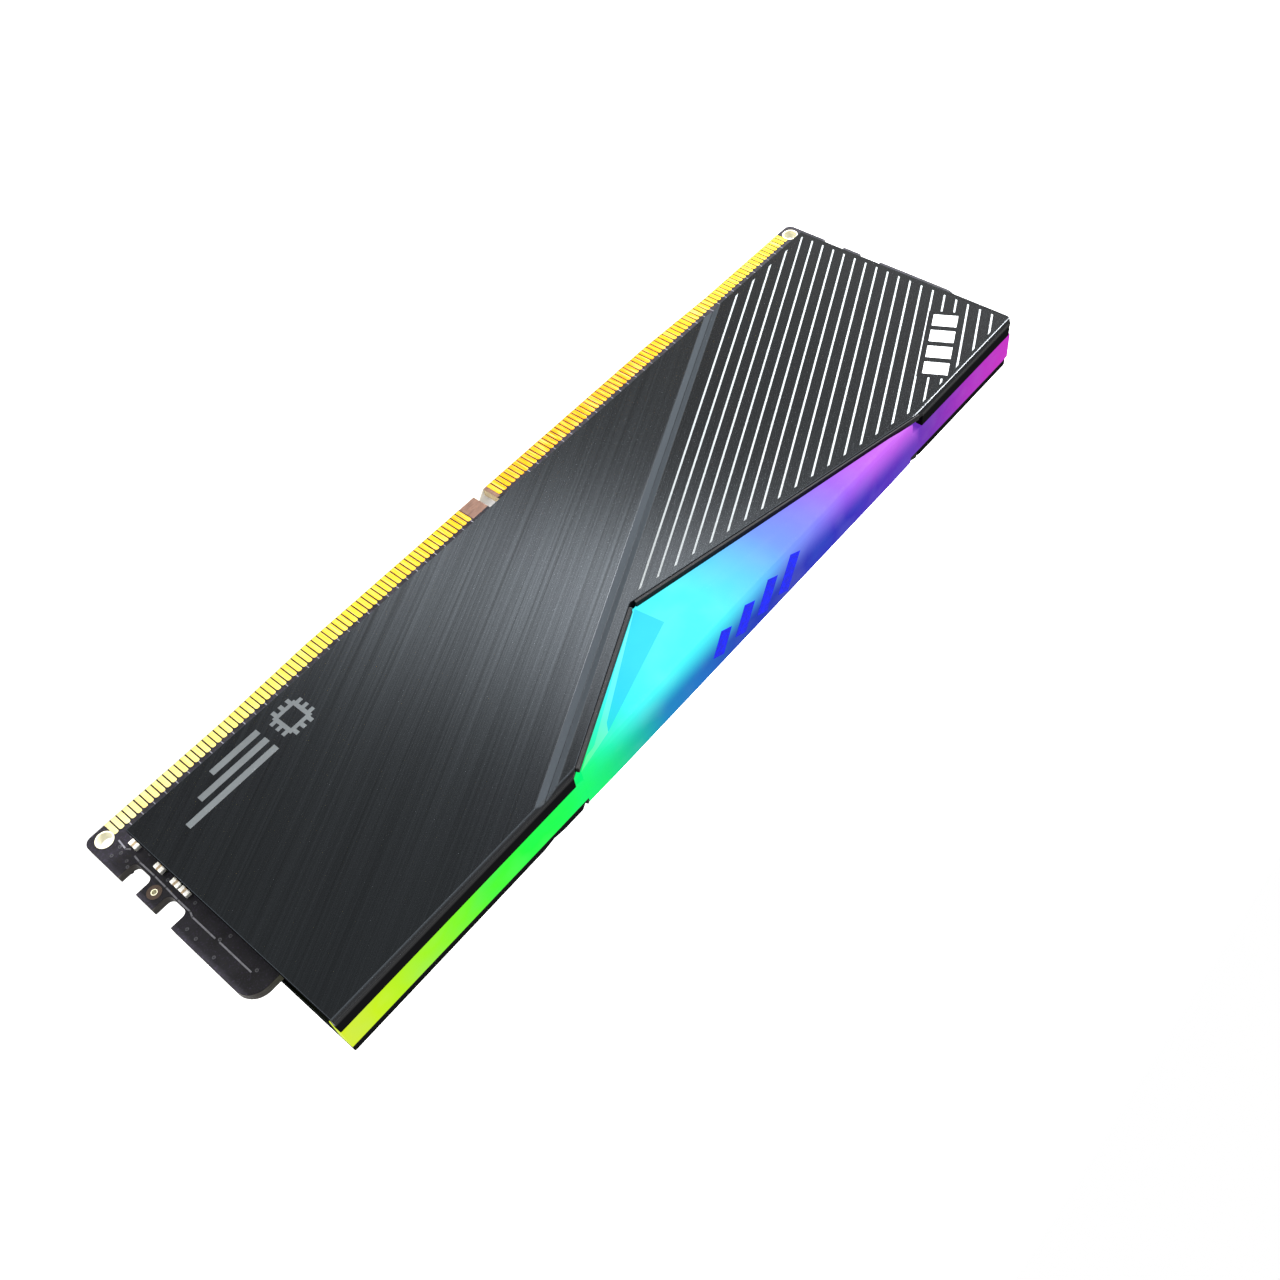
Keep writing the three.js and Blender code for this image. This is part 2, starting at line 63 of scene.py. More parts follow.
BOARD_LOW, BOARD_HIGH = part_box("circuit_board")
SHEET_LOW, SHEET_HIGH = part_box("front_heat_spreader")
BACK_LOW, BACK_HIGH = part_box("back_heat_spreader")
BAR_LOW, BAR_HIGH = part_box("light_diffuser")
LEFT_PADS_LOW, LEFT_PADS_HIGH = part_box("contacts_front_left")
RIGHT_PADS_LOW, RIGHT_PADS_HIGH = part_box("contacts_front_right")
BOARD_FACE = BOARD_HIGH.y
OUTER_FACE = BACK_HIGH.y
INNER_FACE = BACK_LOW.y
TOP = BAR_HIGH.z


def linear(code):
    """A colour's linear red, green and blue from its six figure code."""
    parts = [int(code[i : i + 2], 16) / 255 for i in (0, 2, 4)]
    return tuple(c / 12.92 if c <= 0.04045 else ((c + 0.055) / 1.055) ** 2.4 for c in parts)


def shade(tint, factor):
    """A colour made darker or lighter by a factor."""
    return tuple(c * factor for c in tint)


# ---- Sizes and colours a user would change ----


def length(name, description, default):
    """A size in millimetres that a user can change."""
    return bpy.props.FloatProperty(
        name=name, description=description, default=default * MM, unit="LENGTH", precision=5
    )


def colour(name, description, code):
    """A colour that a user can change."""
    return bpy.props.FloatVectorProperty(
        name=name, description=description, default=linear(code), subtype="COLOR", size=3, min=0, max=1
    )


class BoardSettings(bpy.types.PropertyGroup):
    """Sizes and colours of the circuit board"""

    edge: length("Edge rounding", "Rounding of the board's cut edges", 0.09)
    trace_wide: length("Trace width", "Width of the raised trace at the right end", 0.2)
    rise: length("End rise", "How much higher the contact edge is at both ends", 0.5)
    rise_starts: length("Rise starts", "Where the contact edge starts to rise, from the middle", 33)
    rise_ends: length("Rise ends", "Where the contact edge stops rising, from the middle", 46)
    hole_in: length("Corner hole place", "From the board's end to the corner hole", 1.9)
    hole_up: length("Corner hole height", "From the contact edge to the corner hole", 2.2)
    hole_size: length("Corner hole size", "Diameter of the corner hole", 2.2)
    tooling_in: length("Tooling hole place", "From the board's end to the small hole", 1.5)
    tooling_up: length("Tooling hole height", "From the contact edge to the small hole", 12.4)
    tooling_size: length("Tooling hole size", "Diameter of the small hole", 0.8)
    mask: colour("Solder mask", "Colour of the board's faces", "0D0C10")
    fibre: colour("Cut edge", "Colour of the board's cut edges", "35322F")
    bare: colour("Bare laminate", "Colour of the board where it has no mask", "4A3830")
    cream: colour("Key notch", "Colour of the key notch's routed walls", "A89C84")


class ContactSettings(bpy.types.PropertyGroup):
    """Sizes and colours of the gold contacts"""

    pitch: length("Pitch", "From one contact to the next", 0.85)
    wide: length("Width", "Width of a contact", 0.66)
    rounding: length("Rounding", "Rounding of a contact's upper corners", 0.26)
    foot_gap: length("Foot gap", "From the contact edge up to the foot of a contact", 0.06)
    # Warm and pale gold are stops of a painted light ramp: the plating's reflection painted warmer left of
    # the middle and paler towards the right end.
    warm: colour("Warm gold", "Colour of the plating left of the middle", "F5A81C")
    pale: colour("Pale gold", "Colour of the plating towards the right end", "FFF8B8")


class PartSettings(bpy.types.PropertyGroup):
    """Colours of the chips and small parts"""

    chip: colour("Chip", "Colour of the moulded chip bodies", "1C1C1E")
    ceramic: colour("Ceramic", "Colour of the capacitors' middles", "B79F7C")
    tin: colour("Tin", "Colour of tinned ends and solder", "E6E4DC")
    ferrite: colour("Ferrite", "Colour of the inductors", "4A4A4C")
    silicone: colour("Thermal pad", "Colour of the thermal pads", "8A9096")
    package: colour("Lamp body", "Colour of the lamps' plastic", "F0EEE6")


class SpreaderSettings(bpy.types.PropertyGroup):
    """Sizes and colours of the heat spreaders"""

    slant: bpy.props.FloatProperty(
        name="Slant",
        description="Angle of the stripes and the fold line",
        default=math.radians(25.8),
        subtype="ANGLE",
    )
    edge: length("Edge rounding", "Rounding of the sheet's edges", 0.12)
    engraving: length("Engraving", "Depth of the stripes and marks", 0.06)
    fold_x: length("Fold place", "Where the window's tip is, along the module", 5.4)
    fold_up: length("Fold height", "Height of the window's tip", 31)
    dark: colour("Dark finish", "Darkest colour of the brushed finish", "0D0E0F")
    light: colour("Light finish", "Lightest colour of the brushed finish", "1C1E20")
    stripe: colour("Stripes", "Colour of the fine stripes", "6C7173")
    label: colour("Blocks", "Colour of the row of blocks", "989B9C")
    emblem: colour("Emblem", "Colour of the chip emblem", "4A5053")


class LightBarSettings(bpy.types.PropertyGroup):
    """Places, colours and glow of the light bar"""

    glow: bpy.props.FloatProperty(
        name="Glow", description="Brightness of the light bar", default=1.0, min=0
    )
    middle_x: length("Window place", "The middle of the faceted window, along the module", -6.5)
    peak_x: length("Peak place", "Where the faceted window peaks, along the module", 5.2)
    peak_down: length("Peak depth", "From the top of the module down to the peak", 5.3)
    bar_in: length("Bar end", "How far the lower bar stops short of both ends", 1.2)
    mark_x: length("Mark place", "The first of the printed bars, along the module", -12)
    mark: colour("Mark", "Colour of the bars printed on the window", "060D82")
    rubber: colour("Gasket", "Colour of the thin gasket round the window", "0B0B0C")


class StageSettings(bpy.types.PropertyGroup):
    """The camera, the lights and the floor"""

    camera_place: bpy.props.FloatVectorProperty(
        name="Camera place",
        description="Where the camera stands",
        default=(0.07022, -0.12747, 0.10684),
        unit="LENGTH",
        size=3,
    )
    camera_ahead: bpy.props.FloatVectorProperty(
        name="Camera direction",
        description="Where the camera looks",
        default=(-0.39517, 0.79569, -0.45905),
        size=3,
    )
    camera_up: bpy.props.FloatVectorProperty(
        name="Camera up",
        description="Which way is up in the camera's view",
        default=(-0.65224, -0.59493, -0.46973),
        size=3,
    )
    camera_lens: bpy.props.FloatProperty(
        name="Lens", description="Focal length in millimetres", default=37.34
    )
    floor: colour("Floor", "Colour of the floor", "FBFBFA")
    key: bpy.props.FloatProperty(
        name="Key light", description="Power of the key light in watts", default=17.5
    )
    overhead: bpy.props.FloatProperty(
        name="Overhead light", description="Strength of the soft overhead light", default=3
    )
    sky: bpy.props.FloatProperty(
        name="Surroundings", description="Brightness of the pale surroundings", default=1.0
    )


GROUPS = {
    "memory_board": BoardSettings,
    "memory_contacts": ContactSettings,
    "memory_parts": PartSettings,
    "memory_spreaders": SpreaderSettings,
    "memory_light": LightBarSettings,
    "memory_stage": StageSettings,
}


# ---- Mesh tools ----


def copy_of(node):
    """A clean copy of a frame node's mesh: its triangles merged, and joined where they are flat."""
    bm = bmesh.new()
    bm.from_mesh(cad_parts[node].data)
    bmesh.ops.remove_doubles(bm, verts=bm.verts, dist=MERGE_GAP)
    bmesh.ops.dissolve_limit(bm, angle_limit=math.radians(1), verts=bm.verts, edges=bm.edges)
    return bm


def bevel(bm, edges, offset, segments=2):
    """Rounds edges."""
    bmesh.ops.bevel(
        bm, geom=list(edges), offset=offset, segments=segments, profile=0.5, affect="EDGES", material=-1
    )


def keep_inside(bm, low, high):
    """Holds every corner of a mesh within a box."""
    for vert in bm.verts:
        vert.co = Vector(min(max(c, a), b) for c, a, b in zip(vert.co, low, high))


def sharp_edges(bm, angle=15):
    """The edges where two faces meet at more than an angle in degrees."""
    return [e for e in bm.edges if len(e.link_faces) == 2 and e.calc_face_angle() > math.radians(angle)]


def block(bm, low, high, rounding=0, segments=2, material=0, turn=None):
    """Adds a box between two corners, with its edges rounded, turned about its middle if asked."""
    low, high = Vector(low), Vector(high)
    middle, size = (low + high) / 2, high - low
    part = bmesh.new()
    bmesh.ops.create_cube(part, size=1, matrix=Matrix.Diagonal((*size, 1)))
    if rounding:
        bevel(part, part.edges, rounding, segments)
    place = Matrix.Translation(middle) @ (turn.to_4x4() if turn else Matrix.Identity(4))
    bmesh.ops.transform(part, matrix=place, verts=part.verts)
    join(bm, part, material)


def join(bm, part, material=0):
    """Adds one mesh to another with a material of its own."""
    for face in part.faces:
        face.material_index = material
    scratch = bpy.data.meshes.new("scratch")
    part.to_mesh(scratch)
    part.free()
    bm.from_mesh(scratch)
    bpy.data.meshes.remove(scratch)


def repeat(bm, part, places, material=0):
    """Adds a copy of one mesh at each place."""
    for face in part.faces:
        face.material_index = material
    scratch = bpy.data.meshes.new("scratch")
    for place in places:
        copy = part.copy()
        bmesh.ops.translate(copy, vec=place, verts=copy.verts)
        copy.to_mesh(scratch)
        copy.free()
        bm.from_mesh(scratch)
    bpy.data.meshes.remove(scratch)
    part.free()


def ring(bm, x, z, inner, outer, y0, y1, steps=32, material=0):
    """Adds a ring round an axis that runs through the board."""
    part = bmesh.new()
    corners = [(inner, y0), (outer, y0), (outer, y1), (inner, y1)]
    verts = [part.verts.new((x + r, y, z)) for r, y in corners]
    edges = [part.edges.new((verts[i], verts[(i + 1) % 4])) for i in range(4)]
    bmesh.ops.spin(
        part,
        geom=verts + edges,
        cent=(x, 0, z),
        axis=(0, 1, 0),
        angle=math.tau,
        steps=steps,
        use_merge=True,
    )
    bmesh.ops.remove_doubles(part, verts=part.verts, dist=1e-7)
    bmesh.ops.recalc_face_normals(part, faces=part.faces)
    join(bm, part, material)


def make_piece(bm, name, materials, replaced=(), smooth_angle=None):
    """Turns a finished mesh into a piece of the module."""
    mesh = bpy.data.meshes.new(name)
    bm.to_mesh(mesh)
    bm.free()
    if "custom_normal" in mesh.attributes:
        mesh.attributes.remove(mesh.attributes["custom_normal"])
    for material in materials:
        mesh.materials.append(material)
    smooth = smooth_angle is not None
    mesh.polygons.foreach_set("use_smooth", [smooth] * len(mesh.polygons))
    if smooth:
        mesh.set_sharp_from_angle(angle=math.radians(smooth_angle))
    piece = bpy.data.objects.new(name, mesh)
    bpy.context.scene.collection.objects.link(piece)
    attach(piece, "root")
    if replaced:
        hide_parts(*replaced)


# ---- Material tools ----


class Finish:
    """A material's nodes, added one at a time around its shader."""

    def __init__(self, name):
        self.material = bpy.data.materials.new(name)
        self.material.use_nodes = True
        self.nodes = self.material.node_tree.nodes
        self.links = self.material.node_tree.links
        self.shader = self.nodes["Principled BSDF"]
        self.place = self.add("ShaderNodeTexCoord").outputs["Object"]

    def add(self, kind, *inputs, **settings):
        """A new node with its first sockets filled in order."""
        node = self.nodes.new(kind)
        for key, value in settings.items():
            setattr(node, key, value)
        for socket, value in zip(node.inputs, inputs):
            self.put(socket, value)
        return node

    def put(self, socket, value):
        """Fills a socket with a link or a value, and leaves it alone for None."""
        if value is None:
            return
        if isinstance(value, bpy.types.NodeSocket):
            self.links.new(value, socket)
        else:
            socket.default_value = value

    def set(self, **values):
        """Fills sockets of the shader, each named with underscores for spaces."""
        for key, value in values.items():
            socket = self.shader.inputs[key.replace("_", " ")]
            if isinstance(value, tuple) and len(value) == 3 and socket.type == "RGBA":
                value = (*value, 1)
            self.put(socket, value)
        return self

    def math(self, operation, a, b=None, clamp=False):
        """The result of a Math node."""
        return self.add("ShaderNodeMath", a, b, operation=operation, use_clamp=clamp).outputs[0]

    def stretch(self, scale, turn=(0, 0, 0)):
        """The piece's own coordinates, turned, then scaled apart along each axis."""
        node = self.add("ShaderNodeMapping", self.place, (0, 0, 0), turn)
        return self.add("ShaderNodeVectorMath", node.outputs[0], scale, operation="MULTIPLY").outputs[0]

    def noise(self, vector, scale=1.0, detail=2.0, rough=0.5):
        """A grey noise over some coordinates."""
        node = self.add("ShaderNodeTexNoise")
        self.put(node.inputs["Vector"], vector)
        self.put(node.inputs["Scale"], scale)
        self.put(node.inputs["Detail"], detail)
        self.put(node.inputs["Roughness"], rough)
        return node.outputs["Fac"]

    def spread(self, value, low, high, to_low=0.0, to_high=1.0, smooth=False):
        """Carries one range of values to another."""
        kind = "SMOOTHSTEP" if smooth else "LINEAR"
        ends = (low, high, to_low, to_high)
        return self.add("ShaderNodeMapRange", value, *ends, interpolation_type=kind).outputs[0]

    def mix(self, factor, a, b):
        """A colour between two others."""
        node = self.add("ShaderNodeMix", data_type="RGBA")
        self.put(node.inputs[0], factor)
        for socket, value in ((node.inputs[6], a), (node.inputs[7], b)):
            plain = isinstance(value, (tuple, list)) and len(value) == 3
            self.put(socket, (*value, 1) if plain else value)
        return node.outputs[2]

    def ramp(self, value, stops):
        """A run of colours: each stop is a place from 0 to 1 and a colour."""
        node = self.add("ShaderNodeValToRGB", value)
        marks = node.color_ramp.elements
        while len(marks) > 1:
            marks.remove(marks[-1])
        marks[0].position, marks[0].color = stops[0][0], (*stops[0][1], 1)
        for place, tint in stops[1:]:
            marks.new(place).color = (*tint, 1)
        return node.outputs["Color"]

    def axis(self, letter):
        """One of the piece's own coordinates."""
        return self.add("ShaderNodeSeparateXYZ", self.place).outputs["XYZ".index(letter)]

    def facing(self, letter):
        """How far a face points along an axis."""
        normal = self.add("ShaderNodeNewGeometry").outputs["Normal"]
        return self.add("ShaderNodeSeparateXYZ", normal).outputs["XYZ".index(letter)]

    def bump(self, height, distance, strength=1.0):
        """Raises the surface by a height."""
        node = self.add("ShaderNodeBump")
        self.put(node.inputs["Strength"], strength)
        self.put(node.inputs["Distance"], distance)
        self.put(node.inputs["Height"], height)
        self.put(self.shader.inputs["Normal"], node.outputs[0])
        return self


def settings(name):
    """A group of the scene's settings."""
    return getattr(bpy.context.scene, name)


# ---- Finishes ----


def mask_finish():
    """Matt black solder mask, brown bare laminate beside the key notch, and fibrous cut edges."""
    s = settings("memory_board")
    f = Finish("solder_mask")
    cloud = f.noise(f.place, 420, 3)
    grain = f.noise(f.place, 5200, 2)
    mask = f.mix(f.spread(cloud, 0.3, 0.7), shade(s.mask, 0.55), shade(s.mask, 1.9))
    layers = f.noise(f.stretch((900, 16000, 900)), 1, 2)
    fibre = f.mix(f.spread(layers, 0.35, 0.65), shade(s.fibre, 0.4), tuple(s.fibre))
    x, z = f.axis("X"), f.axis("Z")
    right_of = f.math("GREATER_THAN", x, LEFT_PADS_HIGH.x)
    left_of = f.math("LESS_THAN", x, RIGHT_PADS_LOW.x - 0.15 * MM)
    beside = f.math("MULTIPLY", right_of, left_of)
    bare_zone = f.math("MULTIPLY", beside, f.math("LESS_THAN", z, LEFT_PADS_HIGH.z + 0.1 * MM))
    stain = f.noise(f.stretch((700, 700, 2600)), 1, 3)
    pale = tuple(min(1, c * 1.25) for c in s.bare)
    bare = f.mix(f.spread(stain, 0.3, 0.7), shade(s.bare, 0.7), pale)
    speckle = f.mix(f.spread(grain, 0.55, 0.7, 0, 0.5), mask, linear("2A2433"))
    face = f.mix(bare_zone, speckle, bare)
    rim = f.spread(f.math("ABSOLUTE", f.facing("Y")), 0.35, 0.6)
    in_notch = f.math("GREATER_THAN", x, LEFT_PADS_HIGH.x + 0.1 * MM)
    routed = f.mix(f.math("MULTIPLY", beside, in_notch), fibre, tuple(s.cream))
    f.set(Base_Color=f.mix(rim, routed, face), Roughness=f.spread(grain, 0.3, 0.7, 0.42, 0.6))
    f.set(Specular_IOR_Level=0.1)
    return f.bump(f.math("ADD", grain, f.math("MULTIPLY", cloud, 2)), 0.02 * MM, 0.5).material


def gold_finish():
    """Hard gold plating with painted light: a ramp along the module paints its reflection warmer to the left
    and paler to the right, with faint scuffs from the socket and a matt grain.
    """
    s = settings("memory_contacts")
    f = Finish("gold_plating")
    along = f.spread(f.axis("X"), BOARD_LOW.x, BOARD_HIGH.x)
    warm, pale = tuple(s.warm), tuple(s.pale)
    # Painted light: these stops paint the plating's changing reflection along the module, orange left of the
    # middle and pale towards the right end.
    stops = [(0, linear("F4E23C")), (0.12, linear("F0C828")), (0.29, warm), (0.44, linear("F8AE1C"))]
    stops += [(0.57, linear("F8C430")), (0.71, linear("FBDD50")), (0.84, linear("FFEF80")), (1, pale)]
    run = f.ramp(along, [(place, shade(tint, 0.72)) for place, tint in stops])
    patch = f.noise(f.stretch((500, 500, 500)), 1, 2)
    scuff = f.noise(f.stretch((11000, 900, 260)), 1, 2)
    varied_tint = f.mix(f.spread(scuff, 0.52, 0.75, 0, 0.35), run, linear("FFF3C4"))
    f.set(Base_Color=f.mix(f.spread(patch, 0.35, 0.7, 0, 0.3), varied_tint, linear("D98F1C")), Metallic=1.0)
    f.set(Roughness=f.spread(scuff, 0.3, 0.7, 0.24, 0.4))
    return f.bump(scuff, 0.008 * MM, 0.4).material


def moulded_finish():
    """Matt black moulding compound with a fine sparkle of filler."""
    s = settings("memory_parts")
    f = Finish("chip_moulding")
    grain = f.noise(f.place, 16000, 2)
    cloud = f.noise(f.place, 700, 2)
    body = f.mix(f.spread(cloud, 0.3, 0.7), shade(s.chip, 0.75), shade(s.chip, 1.6))
    f.set(Base_Color=f.mix(f.spread(grain, 0.66, 0.8, 0, 0.5), body, linear("5C5C60")))
    f.set(Roughness=f.spread(grain, 0.3, 0.7, 0.5, 0.68))
    return f.bump(grain, 0.015 * MM, 0.5).material


def substrate_finish():
    """The thin green-black carrier under a chip."""
    f = Finish("chip_substrate")
    weave = f.noise(f.place, 6000, 2)
    f.set(Base_Color=f.mix(f.spread(weave, 0.3, 0.7), linear("10241A"), linear("1E3A2A")))
    return f.set(Roughness=f.spread(weave, 0.3, 0.7, 0.4, 0.55)).bump(weave, 0.01 * MM, 0.4).material


def tin_finish(name="tinned_ends"):
    """Bright tin and solder with a soft frosting."""
    s = settings("memory_parts")
    f = Finish(name)
    frost = f.noise(f.place, 7000, 3)
    f.set(Base_Color=f.mix(f.spread(frost, 0.3, 0.7), shade(s.tin, 0.8), tuple(s.tin)))
    f.set(Metallic=0.75)
    return f.set(Roughness=f.spread(frost, 0.3, 0.7, 0.3, 0.5)).bump(frost, 0.02 * MM, 0.4).material


def ceramic_finish():
    """Tan fired ceramic, slightly mottled."""
    s = settings("memory_parts")
    f = Finish("fired_ceramic")
    mottle = f.noise(f.place, 5200, 3)
    f.set(Base_Color=f.mix(f.spread(mottle, 0.3, 0.7), shade(s.ceramic, 0.65), tuple(s.ceramic)))
    return f.set(Roughness=f.spread(mottle, 0.3, 0.7, 0.32, 0.5)).bump(mottle, 0.01 * MM, 0.4).material


def ferrite_finish():
    """Pressed iron powder: dark grey with a metallic speckle."""
    s = settings("memory_parts")
    f = Finish("pressed_ferrite")
    speckle = f.noise(f.place, 12000, 3)
    f.set(Base_Color=f.mix(f.spread(speckle, 0.5, 0.75), shade(s.ferrite, 0.7), linear("8C8C90")))
    f.set(Metallic=f.spread(speckle, 0.55, 0.7, 0, 0.6), Roughness=f.spread(speckle, 0.3, 0.7, 0.5, 0.7))
    return f.bump(speckle, 0.02 * MM, 0.6).material


def silicone_finish():
    """Soft grey thermal pad with filler grains and a gentle ripple."""
    s = settings("memory_parts")
    f = Finish("thermal_silicone")
    grain = f.noise(f.place, 4200, 3)
    ripple = f.noise(f.place, 380, 2)
    f.set(Base_Color=f.mix(f.spread(grain, 0.3, 0.7), shade(s.silicone, 0.75), tuple(s.silicone)))
    f.set(Roughness=f.spread(grain, 0.3, 0.7, 0.75, 0.95))
    return f.bump(f.math("ADD", grain, f.math("MULTIPLY", ripple, 3)), 0.04 * MM, 0.6).material


def package_finish():
    """White lamp plastic, faintly yellowed."""
    s = settings("memory_parts")
    f = Finish("lamp_package")
    cloud = f.noise(f.place, 2600, 2)
    f.set(Base_Color=f.mix(f.spread(cloud, 0.3, 0.7), shade(s.package, 0.85), tuple(s.package)))
    return f.set(Roughness=f.spread(cloud, 0.3, 0.7, 0.35, 0.5)).bump(cloud, 0.01 * MM, 0.3).material


def brushed_finish():
    """Black anodised aluminium, brushed along the slant, calmer in the striped part, with painted shade:
    every face that doesn't face front or back, such as the cut walls, the rounded edges, the lip's top and
    the fold groove, is painted near-black and loses its reflection.
    """
    s = settings("memory_spreaders")
    f = Finish("brushed_black_aluminium")
    turn = (0, s.slant, 0)
    hair = f.noise(f.stretch((28, 300, 7600), turn), 1, 3, 0.6)
    streak = f.noise(f.stretch((14, 300, 2600), turn), 1, 3, 0.55)
    band = f.noise(f.stretch((5, 50, 190), turn), 1, 2)
    speck = f.noise(f.place, 5200, 2)
    across = f.math("MULTIPLY", f.axis("Z"), math.cos(s.slant))
    across = f.math("SUBTRACT", across, f.math("MULTIPLY", f.axis("X"), math.sin(s.slant)))
    fold = s.fold_up * math.cos(s.slant) - s.fold_x * math.sin(s.slant) - 2.1 * MM
    striped = f.spread(across, fold - 0.3 * MM, fold + 0.3 * MM)
    lines = f.math("ADD", f.math("MULTIPLY", hair, 0.6), f.math("MULTIPLY", streak, 0.4))
    lines = f.spread(lines, 0.18, 0.82)
    calm = f.math("ADD", f.math("MULTIPLY", lines, 0.3), f.math("MULTIPLY", speck, 0.2))
    tone = f.add("ShaderNodeMix", striped, data_type="FLOAT")
    f.put(tone.inputs[2], lines)
    f.put(tone.inputs[3], calm)
    tone = f.math("MULTIPLY", tone.outputs[0], f.spread(band, 0.2, 0.8, 0.85, 1.15), clamp=True)
    face = f.mix(tone, tuple(s.dark), tuple(s.light))
    # Painted shade: faces that don't face front or back are painted near-black, dark grey where they nearly
    # face front as on the fold groove, and lose their reflection.
    facing = f.math("ABSOLUTE", f.facing("Y"))
    flat = f.spread(facing, 0.985, 0.999)
    cut = f.mix(f.spread(facing, 0.75, 0.9), linear("0A0A0B"), linear("222528"))
    # Painted shade on the lip: nearest the face it is painted with up to a third of the face's finish,
    # fading to near-black 1.1 mm back.
    lip_end = -OUTER_FACE + 1.1 * MM
    painted_bend_shade = f.math("LESS_THAN", f.axis("Y"), lip_end)
    painted_bend_shade = f.math("MULTIPLY", painted_bend_shade, f.math("GREATER_THAN", f.axis("Z"), TOP - 0.5 * MM))
    fold_over = f.spread(f.axis("Y"), lip_end, -OUTER_FACE + 0.4 * MM)
    painted_bend_shade = f.math("MULTIPLY", f.math("MULTIPLY", painted_bend_shade, fold_over), 0.3)
    edge = f.math("MAXIMUM", flat, painted_bend_shade)
    f.set(Base_Color=f.mix(edge, cut, face), Metallic=edge)
    f.set(Specular_IOR_Level=f.math("MULTIPLY", edge, 0.3))
    f.set(Roughness=f.spread(f.math("ADD", lines, speck), 0.4, 1.6, 0.24, 0.31), Anisotropic=1.0)
    across_lines = f.add("ShaderNodeCombineXYZ", -math.sin(s.slant), 0.0, math.cos(s.slant))
    f.put(f.shader.inputs["Tangent"], across_lines.outputs[0])
    return f.bump(f.math("ADD", hair, f.math("MULTIPLY", streak, 0.6)), 0.012 * MM, 0.35).material


def etched_finish(name, tint, low, high, metal):
    """A pale laser-etched or printed mark with a fine tooth, and painted shade that darkens it from the left
    part of the module towards the middle and the right end.
    """
    f = Finish(name)
    tooth = f.noise(f.place, 9000, 2)
    cloud = f.noise(f.place, 300, 2)
    varied_tint = f.mix(f.spread(tooth, 0.3, 0.7), shade(tint, low), tuple(tint))
    # Painted shade: the mark is painted darker from the left part of the module towards the middle, and
    # evenly dark from there to the right end.
    painted_shade_fade = f.spread(f.axis("X"), 0.7 * SHEET_LOW.x, 0, 0, 0.85)
    varied_tint = f.mix(painted_shade_fade, varied_tint, shade(tint, 0.25))
    f.set(Base_Color=f.mix(f.spread(cloud, 0.35, 0.75, 0, 0.25), varied_tint, shade(tint, 0.75)))
    f.set(Metallic=metal, Roughness=f.spread(tooth, 0.3, 0.7, high, high + 0.15))
    return f.bump(tooth, 0.01 * MM, 0.4).material


# Colours along the light bar, each at a place in millimetres: a deeper run painted on its top as painted
# shade, and a paler run painted on the window's facets as painted light.
TOP_RUN = [
    (-62.7, "C428C0"), (-60, "C027BF"), (-54, "B128BF"), (-48, "9024B6"), (-43, "722BB2"),
    (-36, "5929B8"), (-30, "4829B9"), (-24, "2B27B7"), (-18, "2930B9"), (-12, "1C2FB1"),
    (-6, "1733B5"), (0, "1C4CB7"), (6, "1270C1"), (12, "1283BE"), (18, "0AC49C"),
    (22, "09E57A"), (26, "04FA5D"), (30, "07FC4F"), (36, "16FC3B"), (42, "4FF726"),
    (48, "87F41C"), (54, "AFF015"), (60, "CDED0B"), (62.7, "D6EC06"),
]
FRONT_RUN = [
    (-38, "CC60EE"), (-33, "C862F3"), (-30, "C563F5"), (-24, "A263F7"), (-18, "8280F9"),
    (-12, "7098FC"), (-6, "5ACDFD"), (0, "4BF3FC"), (6, "45F9FF"), (12, "46FEFF"),
    (16, "38F8F9"), (20, "20F9CF"), (24, "12FB94"), (27, "0CFA70"),
]

# Where the painted shade on the light bar's top deepens, from front to back, and how far the window reaches
# to each side.
DEEPENS = (-4.2 * MM, 1.8 * MM)
WINDOW_HALF = (31.5 * MM, 34 * MM)


def lit_finish(name="lit_diffuser"):
    """Milky plastic lit from inside: the colour runs along the bar, with painted light and shade: the front
    facets painted paler than the top, the top painted deeper towards the back, and single facets painted
    paler or deeper by their tone.
    """
    s = settings("memory_light")
    f = Finish(name)
    along = f.spread(f.axis("X"), BAR_LOW.x, BAR_HIGH.x)
    span = BAR_HIGH.x - BAR_LOW.x

    def run(stops):
        return f.ramp(along, [((x * MM - BAR_LOW.x) / span, linear(code)) for x, code in stops])

    # Painted shade: upward faces towards the back and the bar beyond the window take the deeper top run, the
    # front facets the paler run.
    deep = f.spread(f.axis("Y"), *DEEPENS, smooth=True)
    outside = f.spread(f.math("ABSOLUTE", f.math("SUBTRACT", f.axis("X"), s.middle_x)), *WINDOW_HALF)
    top = f.math("MAXIMUM", outside, f.math("MULTIPLY", deep, f.spread(f.facing("Z"), 0.3, 0.9)))
    colours = f.mix(top, run(FRONT_RUN), run(TOP_RUN))
    # Painted light and shade per facet: a facet's tone paints it paler towards white or deeper towards blue.
    tone = f.add("ShaderNodeAttribute", attribute_name="tone").outputs["Fac"]
    cloud = f.noise(f.place, 160, 2)
    tone = f.math("ADD", tone, f.spread(cloud, 0.3, 0.7, -0.015, 0.015))
    colours = f.mix(f.spread(tone, 0, 0.5), colours, linear("FFFFFF"))
    colours = f.mix(f.spread(tone, 0, -0.3), colours, linear("00A8F0"))
    tooth = f.noise(f.place, 2500, 2)
    dim = f.mix(0.985, colours, linear("08080A"))
    f.set(Base_Color=dim, Emission_Color=colours, Emission_Strength=s.glow)
    f.set(Roughness=f.spread(tooth, 0.3, 0.7, 0.55, 0.7), Specular_IOR_Level=0.02)
    return f.bump(tooth, 0.004 * MM, 0.3).material


